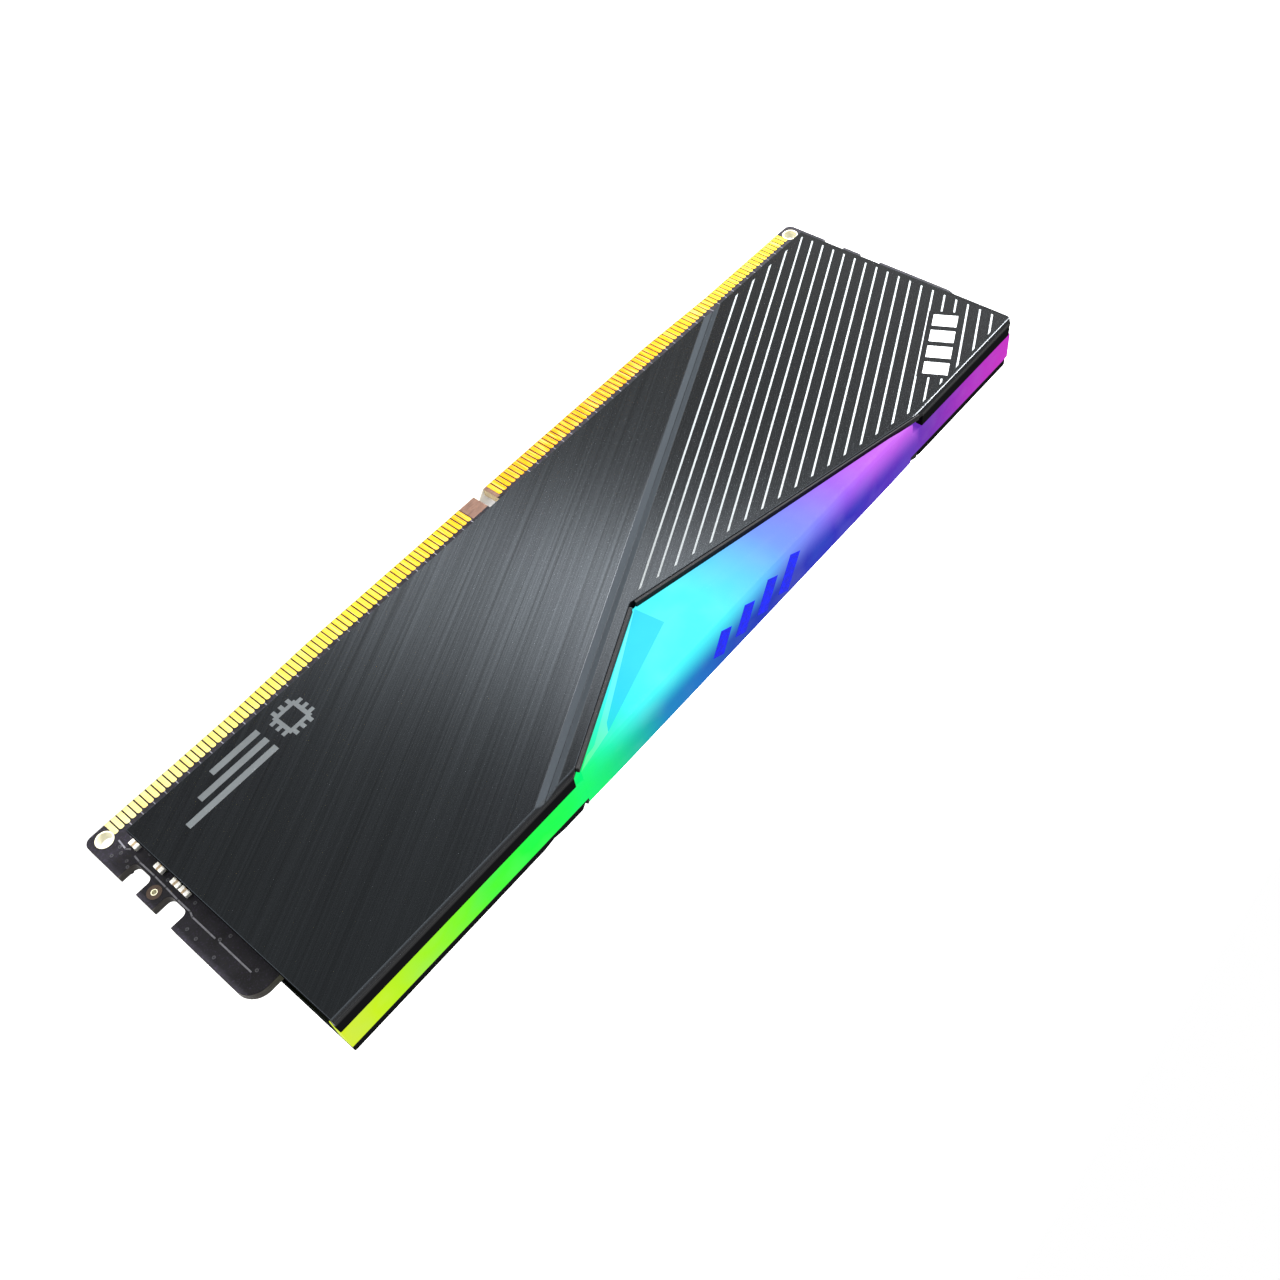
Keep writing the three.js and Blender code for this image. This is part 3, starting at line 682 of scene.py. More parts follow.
def mark_finish():
    """Deep blue ink that the light shines through a little, thinner in places."""
    f = Finish("see_through_ink")
    thin = f.noise(f.place, 1800, 3)
    ink = tuple(settings("memory_light").mark)
    tint = f.mix(f.spread(thin, 0.4, 0.7), ink, tuple(min(1, c * 1.6) for c in ink))
    f.set(Base_Color=tint, Emission_Color=tint, Emission_Strength=0.8, Specular_IOR_Level=0.05)
    return f.set(Roughness=f.spread(thin, 0.3, 0.7, 0.5, 0.7)).bump(thin, 0.004 * MM, 0.3).material


def rubber_finish():
    """Matt black gasket rubber with a dusty grain."""
    f = Finish("gasket_rubber")
    grain = f.noise(f.place, 6000, 3)
    black = tuple(settings("memory_light").rubber)
    f.set(Base_Color=f.mix(f.spread(grain, 0.5, 0.75), black, shade(black, 4)))
    f.set(Specular_IOR_Level=0.15)
    return f.set(Roughness=f.spread(grain, 0.3, 0.7, 0.7, 0.9)).bump(grain, 0.01 * MM, 0.5).material


def plating_finish(name, code, low):
    """Copper or tinned copper round a hole."""
    f = Finish(name)
    patch = f.noise(f.place, 3200, 2)
    tint = linear(code)
    f.set(Base_Color=f.mix(f.spread(patch, 0.3, 0.7), shade(tint, low), tint), Metallic=0.7)
    return f.set(Roughness=f.spread(patch, 0.3, 0.7, 0.3, 0.5)).bump(patch, 0.01 * MM, 0.4).material


def trace_finish():
    """Copper track under the mask: black, with its top rubbed a little paler."""
    f = Finish("masked_track")
    patch = f.noise(f.place, 1500, 2)
    top = f.spread(f.math("ABSOLUTE", f.facing("Y")), 0.5, 0.95)
    varied_tint = f.mix(f.spread(patch, 0.3, 0.7), linear("34343A"), linear("5A5A62"))
    f.set(Base_Color=f.mix(top, linear("08080A"), varied_tint), Specular_IOR_Level=0.5)
    return f.set(Roughness=f.spread(patch, 0.3, 0.7, 0.3, 0.45)).bump(patch, 0.01 * MM, 0.4).material


# ---- Pieces ----


TIE_STEP = 1.7
TIE_WIDE = 0.12 * MM
VIAS_UP = 4.45 * MM
VIA_INNER, VIA_OUTER = 0.09 * MM, 0.22 * MM


def board_piece(materials):
    """The board's laminate, with its cut edges rounded."""
    s = settings("memory_board")
    bm = copy_of("circuit_board")
    bevel(bm, sharp_edges(bm, 40), s.edge, 2)
    make_piece(bm, "board_laminate", materials, ["circuit_board"])


def track(bm, points, wide, face, rise):
    """A raised track on the board's face through a run of points, each an x and a height."""
    for (x0, z0), (x1, z1) in zip(points, points[1:]):
        run, lift = x1 - x0, z1 - z0
        long = math.hypot(run, lift)
        turn = Matrix.Rotation(-math.atan2(lift, run), 3, "Y")
        middle = Vector(((x0 + x1) / 2, face, (z0 + z1) / 2))
        half = Vector((long / 2 + wide / 2, rise, wide / 2))
        block(bm, middle - half, middle + half, rise * 0.5, 1, turn=turn)


def tracks_piece(material):
    """The raised tracks at both ends and the short ties above the contacts, on both faces."""
    s = settings("memory_board")
    bm = bmesh.new()
    right = BOARD_HIGH.x
    rise = 0.02 * MM
    face = -BOARD_FACE - rise / 2
    hook, lower, upper = (
        [(right - inward * MM, up * MM) for inward, up in run]
        for run in (
            [(2.9, 3.7), (2.75, 5.2), (3.05, 5.7)],
            [(2.85, 6.9), (2.74, 7.9), (2.77, 10.8), (2.7, 13)]
            + [(2.6, 15.3), (2.6, 17.6), (2.35, 18.3), (2.35, 22.3)],
            [(2.38, 23.2), (2.38, 28.5)],
        )
    )
    for points in (hook, lower, upper):
        track(bm, points, s.trace_wide, face, rise)
        track(bm, [(-x, z) for x, z in points], s.trace_wide, face, rise)
        track(bm, points, s.trace_wide, -face, rise)
        track(bm, [(-x, z) for x, z in points], s.trace_wide, -face, rise)
    ties = int((RIGHT_PADS_HIGH.x - RIGHT_PADS_LOW.x) / (TIE_STEP * MM))
    for i in range(ties):
        x = RIGHT_PADS_LOW.x + 0.3 * MM + i * TIE_STEP * MM
        for mirror in (1, -1):
            for y in (face, -face):
                kink = [(x * mirror, LEFT_PADS_HIGH.z), (x * mirror, 3.7 * MM)]
                kink += [((x + 0.4 * MM) * mirror, 4.2 * MM)]
                track(bm, kink, TIE_WIDE, y, rise)
    make_piece(bm, "board_tracks", [material])


def via_piece(material):
    """The rings of the vias along the contacts and near the right end."""
    bm = bmesh.new()
    places = []
    for i in range(int((BOARD_HIGH.x - 7 * MM) / (TIE_STEP * MM))):
        x = 6.4 * MM + i * TIE_STEP * MM
        places += [(x, VIAS_UP), (-x + 3 * MM, VIAS_UP)]
    near_end = [(2.6, 22.9), (3.6, 23.5), (4.3, 7.1), (4.1, 8.1), (4.5, 8.8), (2.9, 28.9)]
    near_end += [(1.1, 19), (1, 20.7), (0.9, 24), (1.9, 6.6), (1.5, 7.3), (2.1, 5.2)]
    near_end += [(1.2, 4.6), (3.4, 12.4), (3.6, 17.2)]
    places += [(BOARD_HIGH.x - inward * MM, up * MM) for inward, up in near_end]
    depth = 0.03 * MM
    for x, z in places:
        for side in (FRONT, BACK):
            near, far = sorted((side * BOARD_FACE, side * (BOARD_FACE + depth)))
            ring(bm, x, z, VIA_INNER, VIA_OUTER, near, far, 12)
    make_piece(bm, "board_vias", [material])


def hole_pieces(pale, copper):
    """The sleeves of the corner and tooling holes, and the copper round the tooling holes."""
    s = settings("memory_board")
    for end, side in (("left", -1), ("right", 1)):
        x = side * (BOARD_HIGH.x - s.hole_in)
        lip = 0.03 * MM
        bm = bmesh.new()
        wall = s.hole_size / 2
        inner, outer = wall - 0.12 * MM, wall + 0.04 * MM
        ring(bm, x, s.hole_up, inner, outer, -BOARD_FACE - lip, BOARD_FACE + lip, 48)
        make_piece(bm, f"corner_hole_sleeve_{end}", [pale], smooth_angle=40)
        x = side * (BOARD_HIGH.x - s.tooling_in)
        wall = s.tooling_size / 2
        bm = bmesh.new()
        ring(bm, x, s.tooling_up, wall - 0.1 * MM, wall, -BOARD_FACE - lip, BOARD_FACE + lip, 32)
        make_piece(bm, f"tooling_hole_sleeve_{end}", [pale], smooth_angle=40)
        bm = bmesh.new()
        for face in (FRONT, BACK):
            near, far = sorted((face * BOARD_FACE, face * (BOARD_FACE + lip)))
            ring(bm, x, s.tooling_up, wall, 0.9 * MM, near, far, 32)
        make_piece(bm, f"tooling_hole_ring_{end}", [copper], smooth_angle=40)


def edge_up(x):
    """The height of the contact edge at a place along the board."""
    s = settings("memory_board")
    out = (abs(x) - s.rise_starts) / (s.rise_ends - s.rise_starts)
    return s.rise * min(max(out, 0), 1)


def contact_shape(s, thick, tall):
    """One contact with rounded upper corners, its foot at the middle of the world."""
    part = bmesh.new()
    bmesh.ops.create_cube(part, size=1, matrix=Matrix.Diagonal((s.wide, thick, tall, 1)))
    bmesh.ops.translate(part, vec=(0, 0, tall / 2), verts=part.verts)
    high = [e for e in part.edges if all(v.co.z > tall / 2 for v in e.verts)]
    upper = [e for e in high if abs(e.verts[0].co.x - e.verts[1].co.x) < MERGE_GAP]
    bevel(part, upper, s.rounding, 3)
    rim = [e for e in part.edges if e.calc_face_angle(0) > 1.2]
    bevel(part, rim, thick * 0.3, 1)
    return part


def contact_piece(node, material):
    """One row of gold contacts, each with its foot on the board's rising edge."""
    s = settings("memory_contacts")
    low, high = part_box(node)
    steps = round((high.x - low.x - s.wide) / s.pitch)
    middle_y = (low.y + high.y) / 2
    bm = bmesh.new()
    for i in range(steps + 1):
        x = low.x + s.wide / 2 + i * s.pitch
        foot = edge_up(x) + s.foot_gap
        repeat(bm, contact_shape(s, high.y - low.y, high.z - foot), [(x, middle_y, foot)])
    make_piece(bm, f"gold_{node}", [material], [node])


def chip_piece(node, materials, balls=True):
    """A moulded chip on its carrier, on solder balls or leads, with a round mark at one corner."""
    low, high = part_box(node)
    front = abs(low.y) > abs(high.y)
    board, outer = (high.y, low.y) if front else (low.y, high.y)
    thick = outer - board
    bm = bmesh.new()

    def layer(inset, near, far, rounding, material):
        ys = sorted((board + thick * near, board + thick * far))
        a = Vector((low.x + inset, ys[0], low.z + inset))
        b = Vector((high.x - inset, ys[1], high.z - inset))
        block(bm, a, b, rounding, 2, material)

    layer(0, 0.2 if balls else 0.08, 0.34, 0.02 * MM, 1)
    layer(0.12 * MM if balls else 0.03 * MM, 0.34, 0.985, 0.07 * MM, 0)
    mark = 0.05 * (high.x - low.x)
    near, far = sorted((board + thick * 0.97, outer))
    ring(bm, low.x + mark * 2.4, high.z - mark * 2.4, mark * 0.1, mark, near, far, 20, 1)
    if balls:
        part = bmesh.new()
        radius = abs(thick) * 0.11
        bmesh.ops.create_icosphere(part, subdivisions=1, radius=radius)
        columns, rows = int((high.x - low.x) / (0.9 * MM)), int((high.z - low.z) / (0.9 * MM))
        xs = [low.x + (i + 0.6) * (high.x - low.x) / (columns + 0.2) for i in range(columns)]
        zs = [low.z + (i + 0.6) * (high.z - low.z) / (rows + 0.2) for i in range(rows)]
        rim = [(x, z) for x in xs for z in zs if x in (xs[0], xs[-1]) or z in (zs[0], zs[-1])]
        repeat(bm, part, [(x, board + math.copysign(radius, thick), z) for x, z in rim], 2)
    else:
        for x in (low.x, high.x):
            ys = sorted((board, board + thick * 0.25))
            for i in range(5):
                z = low.z + (i + 0.5) * (high.z - low.z) / 5
                half = 0.06 * (high.z - low.z)
                inner = x + math.copysign(0.3 * MM, (low.x + high.x) / 2 - x)
                x0, x1 = sorted((x, inner))
                block(bm, (x0, ys[0], z - half), (x1, ys[1], z + half), 0.01 * MM, 1, 2)
    make_piece(bm, f"moulded_{node}", materials, [node])


def inductor_piece(node, materials):
    """A pressed block with a tinned plate at each end."""
    low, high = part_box(node)
    bm = bmesh.new()
    side = 0.35 * MM
    a = (low.x + 0.05 * MM, low.y, low.z)
    b = (high.x - 0.05 * MM, high.y - 0.1 * MM, high.z)
    block(bm, a, b, 0.25 * MM, 3, 0)
    for x in (low.x, high.x - side):
        a = (x, low.y + 0.25 * MM, low.z + 0.4 * MM)
        b = (x + side, high.y, high.z - 0.4 * MM)
        block(bm, a, b, 0.06 * MM, 2, 1)
    make_piece(bm, f"pressed_{node}", materials, [node])


def capacitor_piece(node, materials):
    """A fired ceramic brick with tinned ends."""
    low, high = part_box(node)
    size = high - low
    bm = bmesh.new()
    upright = size.z > size.x
    letter = 2 if upright else 0
    cap = size[letter] * 0.4
    skin = 0.025 * MM
    a, b = low.copy(), high.copy()
    a[letter] += cap * 0.8
    b[letter] -= cap * 0.8
    inset = Vector((skin, skin, skin))
    inset[letter] = 0
    a += inset
    b -= inset
    b.y = high.y
    block(bm, a, b, 0.04 * MM, 2, 0)
    for end in (0, 1):
        a, b = low.copy(), high.copy()
        if end:
            a[letter] = high[letter] - cap
        else:
            b[letter] = low[letter] + cap
        block(bm, a, b, 0.09 * MM, 3, 1)
    make_piece(bm, f"ceramic_{node}", materials, [node])


def lamp_piece(node, materials):
    """A small white lamp with a hollow on top that holds its phosphor."""
    low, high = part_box(node)
    bm = bmesh.new()
    part = bmesh.new()
    size, middle = high - low, (low + high) / 2
    bmesh.ops.create_cube(part, size=1, matrix=Matrix.Translation(middle) @ Matrix.Diagonal((*size, 1)))
    top = max(part.faces, key=lambda f: f.calc_center_median().z)
    bevel(part, [e for e in part.edges if top not in e.link_faces], 0.08 * MM, 2)
    top = max(part.faces, key=lambda f: f.calc_center_median().z)
    bmesh.ops.inset_region(part, faces=[top], thickness=0.18 * MM)
    bmesh.ops.translate(part, vec=(0, 0, -0.2 * MM), verts=top.verts)
    join(bm, part, 0)
    wall = 0.2 * MM
    a = (low.x + wall, low.y + wall, high.z - 0.22 * MM)
    b = (high.x - wall, high.y - wall, high.z - 0.1 * MM)
    block(bm, a, b, 0.02 * MM, 1, 1)
    for x in (low.x, high.x - 0.35 * MM):
        foot = (x, high.y - 0.3 * MM, low.z)
        block(bm, foot, (x + 0.35 * MM, high.y, low.z + 0.5 * MM), 0.03 * MM, 1, 2)
    make_piece(bm, f"side_{node}", materials, [node])


def pad_piece(node, material):
    """A soft pad squeezed between two faces, so its rim bulges and rounds."""
    low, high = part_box(node)
    bm = bmesh.new()
    block(bm, low, high, min(0.3 * MM, (high.y - low.y) * 0.35), 4)
    make_piece(bm, f"soft_{node}", [material], [node], smooth_angle=35)


def engraved(bm, side, depth):
    """The floors and the walls of the engraving on a sheet's outer face."""
    floor_y = side * (OUTER_FACE - depth)
    level = [f for f in bm.faces if abs(f.calc_center_median().y - floor_y) < 1e-5]
    floors = [f for f in level if f.normal.y * side > 0.9]
    inside = OUTER_FACE - depth - 1e-5
    outer = [f for f in bm.faces if all(v.co.y * side > inside for v in f.verts)]
    walls = [f for f in outer if abs(f.normal.y) < 0.1]
    return floors, walls


def spreader_piece(node, side, material):
    """A folded sheet with its outline rounded and its engraving left crisp."""
    s = settings("memory_spreaders")
    bm = copy_of(node)
    floors, walls = engraved(bm, side, s.engraving)
    marked = set(floors) | set(walls)
    outline = [e for e in sharp_edges(bm) if not any(f in marked for f in e.link_faces)]
    bevel(bm, outline, s.edge, 3)
    keep_inside(bm, *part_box(node))
    make_piece(bm, f"brushed_{node}", [material], [node])


def marking_pieces(node, side, finishes):
    """Thin inlays that fill the engraving: the fine stripes, the row of blocks and the emblem."""
    s = settings("memory_spreaders")
    face_name = "front" if side == FRONT else "back"
    for kind, finish in finishes.items():
        bm = copy_of(node)
        floors, _ = engraved(bm, side, s.engraving)

        def sort(face):
            narrow = sum(e.calc_length() for e in face.edges) / face.calc_area()
            if narrow > 5 / MM:
                return "stripes"
            return "emblem" if face.calc_center_median().x > 0 else "blocks"

        kept = {f for f in floors if sort(f) == kind}
        bmesh.ops.delete(bm, geom=[f for f in bm.faces if f not in kept], context="FACES")
        if kind == "stripes":
            rims = bmesh.ops.inset_individual(bm, faces=bm.faces[:], thickness=0.04 * MM)["faces"]
            bmesh.ops.delete(bm, geom=rims, context="FACES")
        bmesh.ops.solidify(bm, geom=bm.faces[:], thickness=-(s.engraving - 0.005 * MM))
        bmesh.ops.recalc_face_normals(bm, faces=bm.faces)
        make_piece(bm, f"{face_name}_{kind}", [finish])


# Corners of the window's facets, each a place along the module and a height, in millimetres.
TIP, LEFT_END, RIGHT_END = (5.35, 31.55), (-38.8, 41.4), (25.95, 41.4)
STRIP_FOOT, STRIP_HEAD = (5.3, 32.6), (19.6, 39.7)
CREASE_LEFT, CREASE_RIGHT = (1.95, 37.2), (7.1, 37.35)


def gem_outline(side):
    """The corners of the faceted window on one face, as x, depth behind the sheet's face and height."""
    s = settings("memory_light")
    peak = (s.peak_x / MM, (TOP - s.peak_down) / MM)
    up = TOP / MM - 0.02
    points = [(TIP, 0.85), (LEFT_END, 0.85), (RIGHT_END, 1.3), (STRIP_FOOT, 0.66), (STRIP_HEAD, 0.72)]
    points += [(peak, 0.02), (CREASE_LEFT, 0.08), (CREASE_RIGHT, 0.12), (TIP, 4.0)]
    front = side == FRONT
    crest = [(0.12, up - 0.75), (0.3, up - 0.3), (0.75, up)] if front else [(0.05, up)]
    for sink, z in crest:
        points += [((-34.5, z), sink * 0.8 + 0.04), ((-8, z), sink + 0.04)]
        points += [((20.5, z), sink + (0.5 if front else 0.1))]
    points += [((LEFT_END[0], up), 1.2 if front else 0.2), ((RIGHT_END[0], up), 1.9 if front else 0.3)]
    return [Vector((x * MM, side * (OUTER_FACE - sink * MM), z * MM)) for (x, z), sink in points]


def above(point, a, b):
    """How far a place lies above the line through two others."""
    return point[1] - a[1] - (point[0] - a[0]) * (b[1] - a[1]) / (b[0] - a[0])


def facet_tone(place):
    """How much paler or deeper a facet is painted than its neighbours, as painted light and shade."""
    s = settings("memory_light")
    point = (place.x / MM, place.z / MM)
    peak = (s.peak_x / MM, (TOP - s.peak_down) / MM)
    if point[0] > TIP[0] - 0.4 and above(point, STRIP_FOOT, STRIP_HEAD) < 0:
        return 0.05
    if point[0] > peak[0] and above(point, peak, STRIP_HEAD) < 0:
        return -0.13
    if above(point, peak, CREASE_LEFT) > 0 and point[1] < CREASE_LEFT[1] + 0.1 and point[0] > CREASE_LEFT[0]:
        return -0.12
    return 0.0


def light_bar_piece(lit):
    """The milky bar between the sheets and the strip it shows along the top."""
    s = settings("memory_light")
    bm = bmesh.new()
    step, fit = 1 * MM, 0.02 * MM
    low = (BAR_LOW.x + s.bar_in, -INNER_FACE + fit, BOARD_HIGH.z)
    block(bm, low, (BAR_HIGH.x - s.bar_in, INNER_FACE - fit, TOP - step - fit), 0.1 * MM, 2)
    below_marks = 0.03 * MM
    low = (BAR_LOW.x, -OUTER_FACE + 2.82 * MM, TOP - 2 * step)
    block(bm, low, (BAR_HIGH.x, INNER_FACE - fit, TOP - below_marks), 0.1 * MM, 2)
    make_piece(bm, "light_bar", [lit], ["light_diffuser"])


def faceted_window_piece(lit):
    """The clear-edged block that fills the window on both faces, cut into facets."""
    bm = bmesh.new()
    for side in (FRONT, BACK):
        for point in gem_outline(side):
            bm.verts.new(point)
    hull = bmesh.ops.convex_hull(bm, input=bm.verts[:])
    spare = [g for g in hull["geom_interior"] + hull["geom_unused"] if isinstance(g, bmesh.types.BMVert)]
    bmesh.ops.delete(bm, geom=list(set(spare)), context="VERTS")
    bmesh.ops.dissolve_limit(bm, angle_limit=math.radians(0.4), verts=bm.verts, edges=bm.edges)
    bmesh.ops.recalc_face_normals(bm, faces=bm.faces)
    keep_inside(bm, BAR_LOW, BAR_HIGH)
    # Painted light and shade: each facet's tone paints it paler or deeper than its neighbours.
    tone = bm.faces.layers.float.new("tone")
    for face in bm.faces:
        if abs(face.normal.y) > 0.5:
            face[tone] = facet_tone(face.calc_center_median())
    make_piece(bm, "faceted_window", [lit], smooth_angle=0)


# The printed bars: half sizes in millimetres, and how each one stands after the last.
MARK_HALF = (1.1, 2.9, 0.025)
MARK_STEP, MARK_SHORTER, MARK_TURN = 4.4, 0.3, -28
MARK_BACK = 0.3 * MM


def mark_piece(print_finish):
    """Four plain slanted bars printed on top of the window."""
    s = settings("memory_light")
    bm = bmesh.new()
    turn = Matrix.Rotation(math.radians(MARK_TURN), 3, "Z")
    for i in range(4):
        middle = Vector((s.mark_x + i * MARK_STEP * MM, MARK_BACK, TOP - MARK_HALF[2] * MM))
        half = Vector((MARK_HALF[0], MARK_HALF[1] - MARK_SHORTER * i, MARK_HALF[2])) * MM
        block(bm, middle - half, middle + half, 0.01 * MM, 1, turn=turn)
    make_piece(bm, "printed_bars", [print_finish])


WINDOW_LEFT = -41 * MM
GASKET_WIDE = 0.4 * MM


def gasket_piece(side, rubber):
    """A thin black gasket that fills the gap between the window and the sheet."""
    s = settings("memory_spreaders")
    name = "front" if side == FRONT else "back"
    bm = bmesh.new()
    tip = (s.fold_x, s.fold_up)
    y0, y1 = sorted((side * (OUTER_FACE - 0.1 * MM), side * (INNER_FACE + 0.05 * MM)))
    wide = GASKET_WIDE
    for end_x in (WINDOW_LEFT, s.fold_x + (TOP - s.fold_up) / math.tan(s.slant)):
        run, lift = end_x - tip[0], TOP - tip[1]
        long = math.hypot(run, lift)
        along = Vector((run, lift)) / long
        inward = Vector((-along.y, along.x)) * (1 if run > 0 else -1)
        middle = Vector(tip) + along * (long / 2 - 0.1 * MM) + inward * (wide / 2 + 0.01 * MM)
        half = Vector((long / 2 - 0.7 * MM, (y1 - y0) / 2, wide / 2))
        centre = Vector((middle.x, (y0 + y1) / 2, middle.y))
        turn = Matrix.Rotation(-math.atan2(lift, run), 3, "Y")
        block(bm, centre - half, centre + half, 0.05 * MM, 2, turn=turn)
    box = (SHEET_LOW, SHEET_HIGH) if side == FRONT else (BACK_LOW, BACK_HIGH)
    keep_inside(bm, *box)
    make_piece(bm, f"{name}_window_gasket", [rubber])


# ---- Stage ----


KEY_PLACE, KEY_TARGET, KEY_SIZE = (-0.325, -0.366, 0.085), (0.01, 0, 0.025), (0.035, 0.14)
OVERHEAD_SPREAD = 50
FLOOR_RADIUS, FLOOR_DROP = 6, 0.00002
SENSOR = 36


def area_light(name, place, target, size, watts):
    """A soft rectangular light that shines at a target."""
    data = bpy.data.lights.new(name, "AREA")
    data.shape = "RECTANGLE"
    data.size, data.size_y = size
    data.energy = watts
    lamp = bpy.data.objects.new(name, data)
    bpy.context.scene.collection.objects.link(lamp)
    lamp.location = place
    lamp.rotation_euler = (Vector(target) - Vector(place)).to_track_quat("-Z", "Y").to_euler()


def make_stage():
    """The camera, the pale surroundings, the floor and the lights."""
    s = settings("memory_stage")
    scene = bpy.context.scene
    scene.view_settings.view_transform = "Standard"
    ahead, up = Vector(s.camera_ahead).normalized(), Vector(s.camera_up).normalized()
    right = ahead.cross(up).normalized()
    turn = Matrix((right, right.cross(ahead), -ahead)).transposed()
    data = bpy.data.cameras.new("camera")
    data.sensor_width, data.lens = SENSOR, s.camera_lens
    data.clip_start, data.clip_end = 0.005, 20
    camera = bpy.data.objects.new("camera", data)
    scene.collection.objects.link(camera)
    camera.matrix_world = Matrix.Translation(s.camera_place) @ turn.to_4x4()
    scene.camera = camera
    world = bpy.data.worlds.new("pale_surroundings")
    world.use_nodes = True
    world.node_tree.nodes["Background"].inputs[0].default_value = (1, 1, 1, 1)
    world.node_tree.nodes["Background"].inputs[1].default_value = s.sky
    scene.world = world
    bm = bmesh.new()
    bmesh.ops.create_circle(bm, cap_ends=True, radius=FLOOR_RADIUS, segments=64)
    bmesh.ops.translate(bm, vec=(0, 0, -FLOOR_DROP), verts=bm.verts)
    mesh = bpy.data.meshes.new("studio_floor")
    bm.to_mesh(mesh)
    bm.free()
    floor = bpy.data.objects.new("studio_floor", mesh)
    scene.collection.objects.link(floor)
    f = Finish("floor_paper")
    tooth = f.noise(f.place, 900, 2)
    paper = tuple(s.floor)
    f.set(Base_Color=f.mix(f.spread(tooth, 0.3, 0.7), shade(paper, 0.97), paper))
    f.set(Roughness=0.9, Specular_IOR_Level=0.1)
    mesh.materials.append(f.material)
    area_light("key_light", KEY_PLACE, KEY_TARGET, KEY_SIZE, s.key)
    sun = bpy.data.lights.new("overhead_light", "SUN")
    sun.energy, sun.angle = s.overhead, math.radians(OVERHEAD_SPREAD)
    scene.collection.objects.link(bpy.data.objects.new("overhead_light", sun))


# ---- Operators ----


class MEMORY_OT_stage(bpy.types.Operator):
    """Makes the floor, the lights and the camera"""

    bl_idname = "memory_module.make_stage"
    bl_label = "Make Stage"

    def execute(self, context):
        make_stage()
        return {"FINISHED"}


class MEMORY_OT_board(bpy.types.Operator):
    """Makes the circuit board with its tracks, vias and hole rings"""

    bl_idname = "memory_module.make_board"
    bl_label = "Make Circuit Board"

    def execute(self, context):
        board_piece([mask_finish()])
        tracks_piece(trace_finish())
        via_piece(plating_finish("masked_via", "3A3A3E", 0.5))
        sleeve = plating_finish("hole_sleeve", "D8D4B8", 0.85)
        hole_pieces(sleeve, plating_finish("bare_copper", "3E3026", 0.6))
        return {"FINISHED"}


class MEMORY_OT_contacts(bpy.types.Operator):
    """Makes the gold contacts along the board's foot, on both faces"""

    bl_idname = "memory_module.make_contacts"
    bl_label = "Make Contacts"

    def execute(self, context):
        gold = gold_finish()
        for node in sorted(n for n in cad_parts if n.startswith("contacts_")):
            contact_piece(node, gold)
        return {"FINISHED"}


class MEMORY_OT_chips(bpy.types.Operator):
    """Makes the memory chips, the power chip and the two small control chips"""

    bl_idname = "memory_module.make_chips"
    bl_label = "Make Chips"

    def execute(self, context):
        finishes = [moulded_finish(), substrate_finish(), tin_finish("solder")]
        for node in sorted(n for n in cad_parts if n.startswith("memory_chip_")):
            chip_piece(node, finishes)
        for node in ("power_management_chip", "spd_hub_chip", "light_controller_chip"):
            chip_piece(node, finishes, balls=False)
        return {"FINISHED"}


class MEMORY_OT_small_parts(bpy.types.Operator):
    """Makes the inductors, the capacitors and the lamps"""

    bl_idname = "memory_module.make_small_parts"
    bl_label = "Make Small Parts"

    def execute(self, context):
        tin, ferrite, ceramic = tin_finish(), ferrite_finish(), ceramic_finish()
        lamp = [package_finish(), lit_finish("lamp_glow"), tin]
        for node in sorted(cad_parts):
            if node.startswith("power_inductor_"):
                inductor_piece(node, [ferrite, tin])
            elif "_capacitor_" in node:
                capacitor_piece(node, [ceramic, tin])
            elif node.startswith("led_"):
                lamp_piece(node, lamp)
        return {"FINISHED"}


class MEMORY_OT_thermal_pads(bpy.types.Operator):
    """Makes the soft pads between the chips and the heat spreaders"""

    bl_idname = "memory_module.make_thermal_pads"
    bl_label = "Make Thermal Pads"

    def execute(self, context):
        silicone = silicone_finish()
        for node in sorted(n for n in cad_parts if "thermal_pad" in n):
            pad_piece(node, silicone)
        return {"FINISHED"}


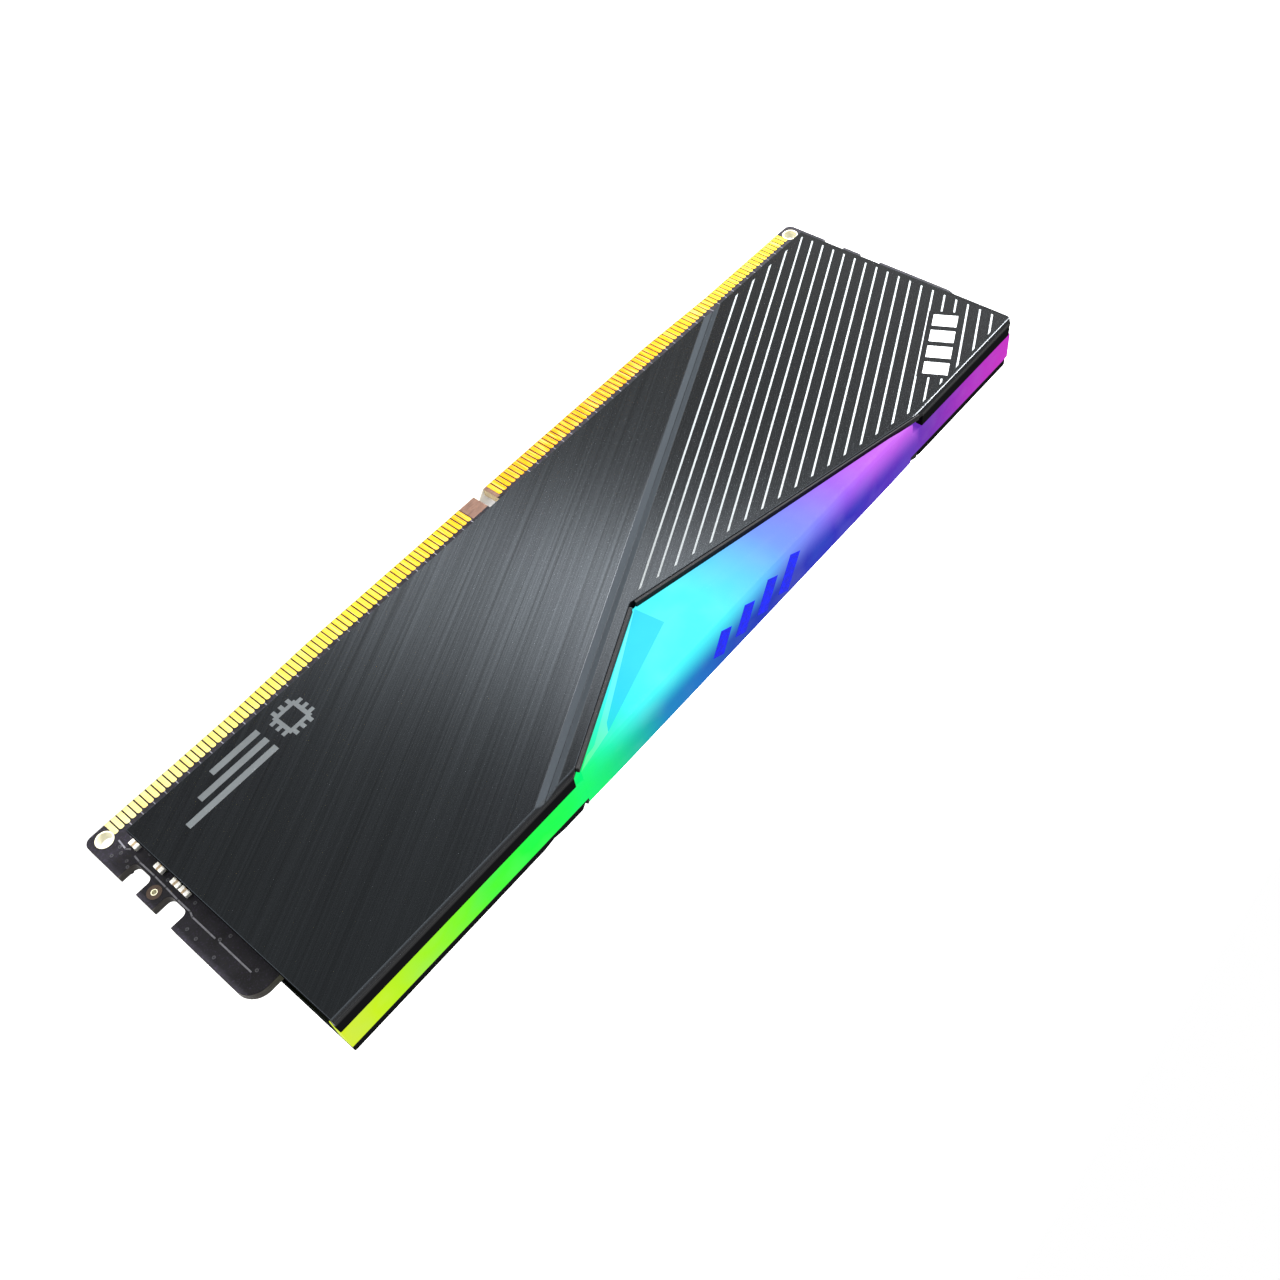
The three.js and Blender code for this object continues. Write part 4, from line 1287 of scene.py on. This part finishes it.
class MEMORY_OT_spreaders(bpy.types.Operator):
    """Makes the two brushed heat spreaders and the marks on them"""

    bl_idname = "memory_module.make_spreaders"
    bl_label = "Make Heat Spreaders"

    def execute(self, context):
        s = settings("memory_spreaders")
        brushed = brushed_finish()
        finishes = {
            "stripes": etched_finish("etched_stripes", s.stripe, 0.75, 0.4, 0.15),
            "blocks": etched_finish("printed_blocks", s.label, 0.93, 0.45, 0.0),
            "emblem": etched_finish("printed_emblem", s.emblem, 0.85, 0.4, 0.1),
        }
        for node, side in (("front_heat_spreader", FRONT), ("back_heat_spreader", BACK)):
            spreader_piece(node, side, brushed)
            marking_pieces(node, side, finishes)
        return {"FINISHED"}


class MEMORY_OT_light_bar(bpy.types.Operator):
    """Makes the lit bar, its faceted window and the gaskets round it"""

    bl_idname = "memory_module.make_light_bar"
    bl_label = "Make Light Bar"

    def execute(self, context):
        lit, rubber = lit_finish(), rubber_finish()
        light_bar_piece(lit)
        faceted_window_piece(lit)
        mark_piece(mark_finish())
        for side in (FRONT, BACK):
            gasket_piece(side, rubber)
        return {"FINISHED"}


OPERATORS = (
    MEMORY_OT_stage,
    MEMORY_OT_board,
    MEMORY_OT_contacts,
    MEMORY_OT_chips,
    MEMORY_OT_small_parts,
    MEMORY_OT_thermal_pads,
    MEMORY_OT_spreaders,
    MEMORY_OT_light_bar,
)


class MEMORY_PT_panel(bpy.types.Panel):
    """Lists the pieces of the memory module and their settings"""

    bl_label = "Memory Module"
    bl_idname = "MEMORY_PT_panel"
    bl_space_type = "VIEW_3D"
    bl_region_type = "UI"
    bl_category = "Memory Module"

    def draw(self, context):
        for operator in OPERATORS:
            self.layout.operator(operator.bl_idname)
        for name in GROUPS:
            box = self.layout.box()
            group = getattr(context.scene, name)
            for key in group.bl_rna.properties.keys():
                if key not in {"rna_type", "name"}:
                    box.prop(group, key)


def register():
    """Makes the settings, the operators and the panel known."""
    for name, group in GROUPS.items():
        bpy.utils.register_class(group)
        setattr(bpy.types.Scene, name, bpy.props.PointerProperty(type=group))
    for cls in (*OPERATORS, MEMORY_PT_panel):
        bpy.utils.register_class(cls)


def unregister():
    """Takes the panel, the operators and the settings away again."""
    for cls in (MEMORY_PT_panel, *reversed(OPERATORS)):
        bpy.utils.unregister_class(cls)
    for name, group in GROUPS.items():
        delattr(bpy.types.Scene, name)
        bpy.utils.unregister_class(group)


def main():
    """Makes every piece in order."""
    register()
    for operator in OPERATORS:
        group, action = operator.bl_idname.split(".")
        getattr(getattr(bpy.ops, group), action)()


if __name__ == "__main__":
    main()
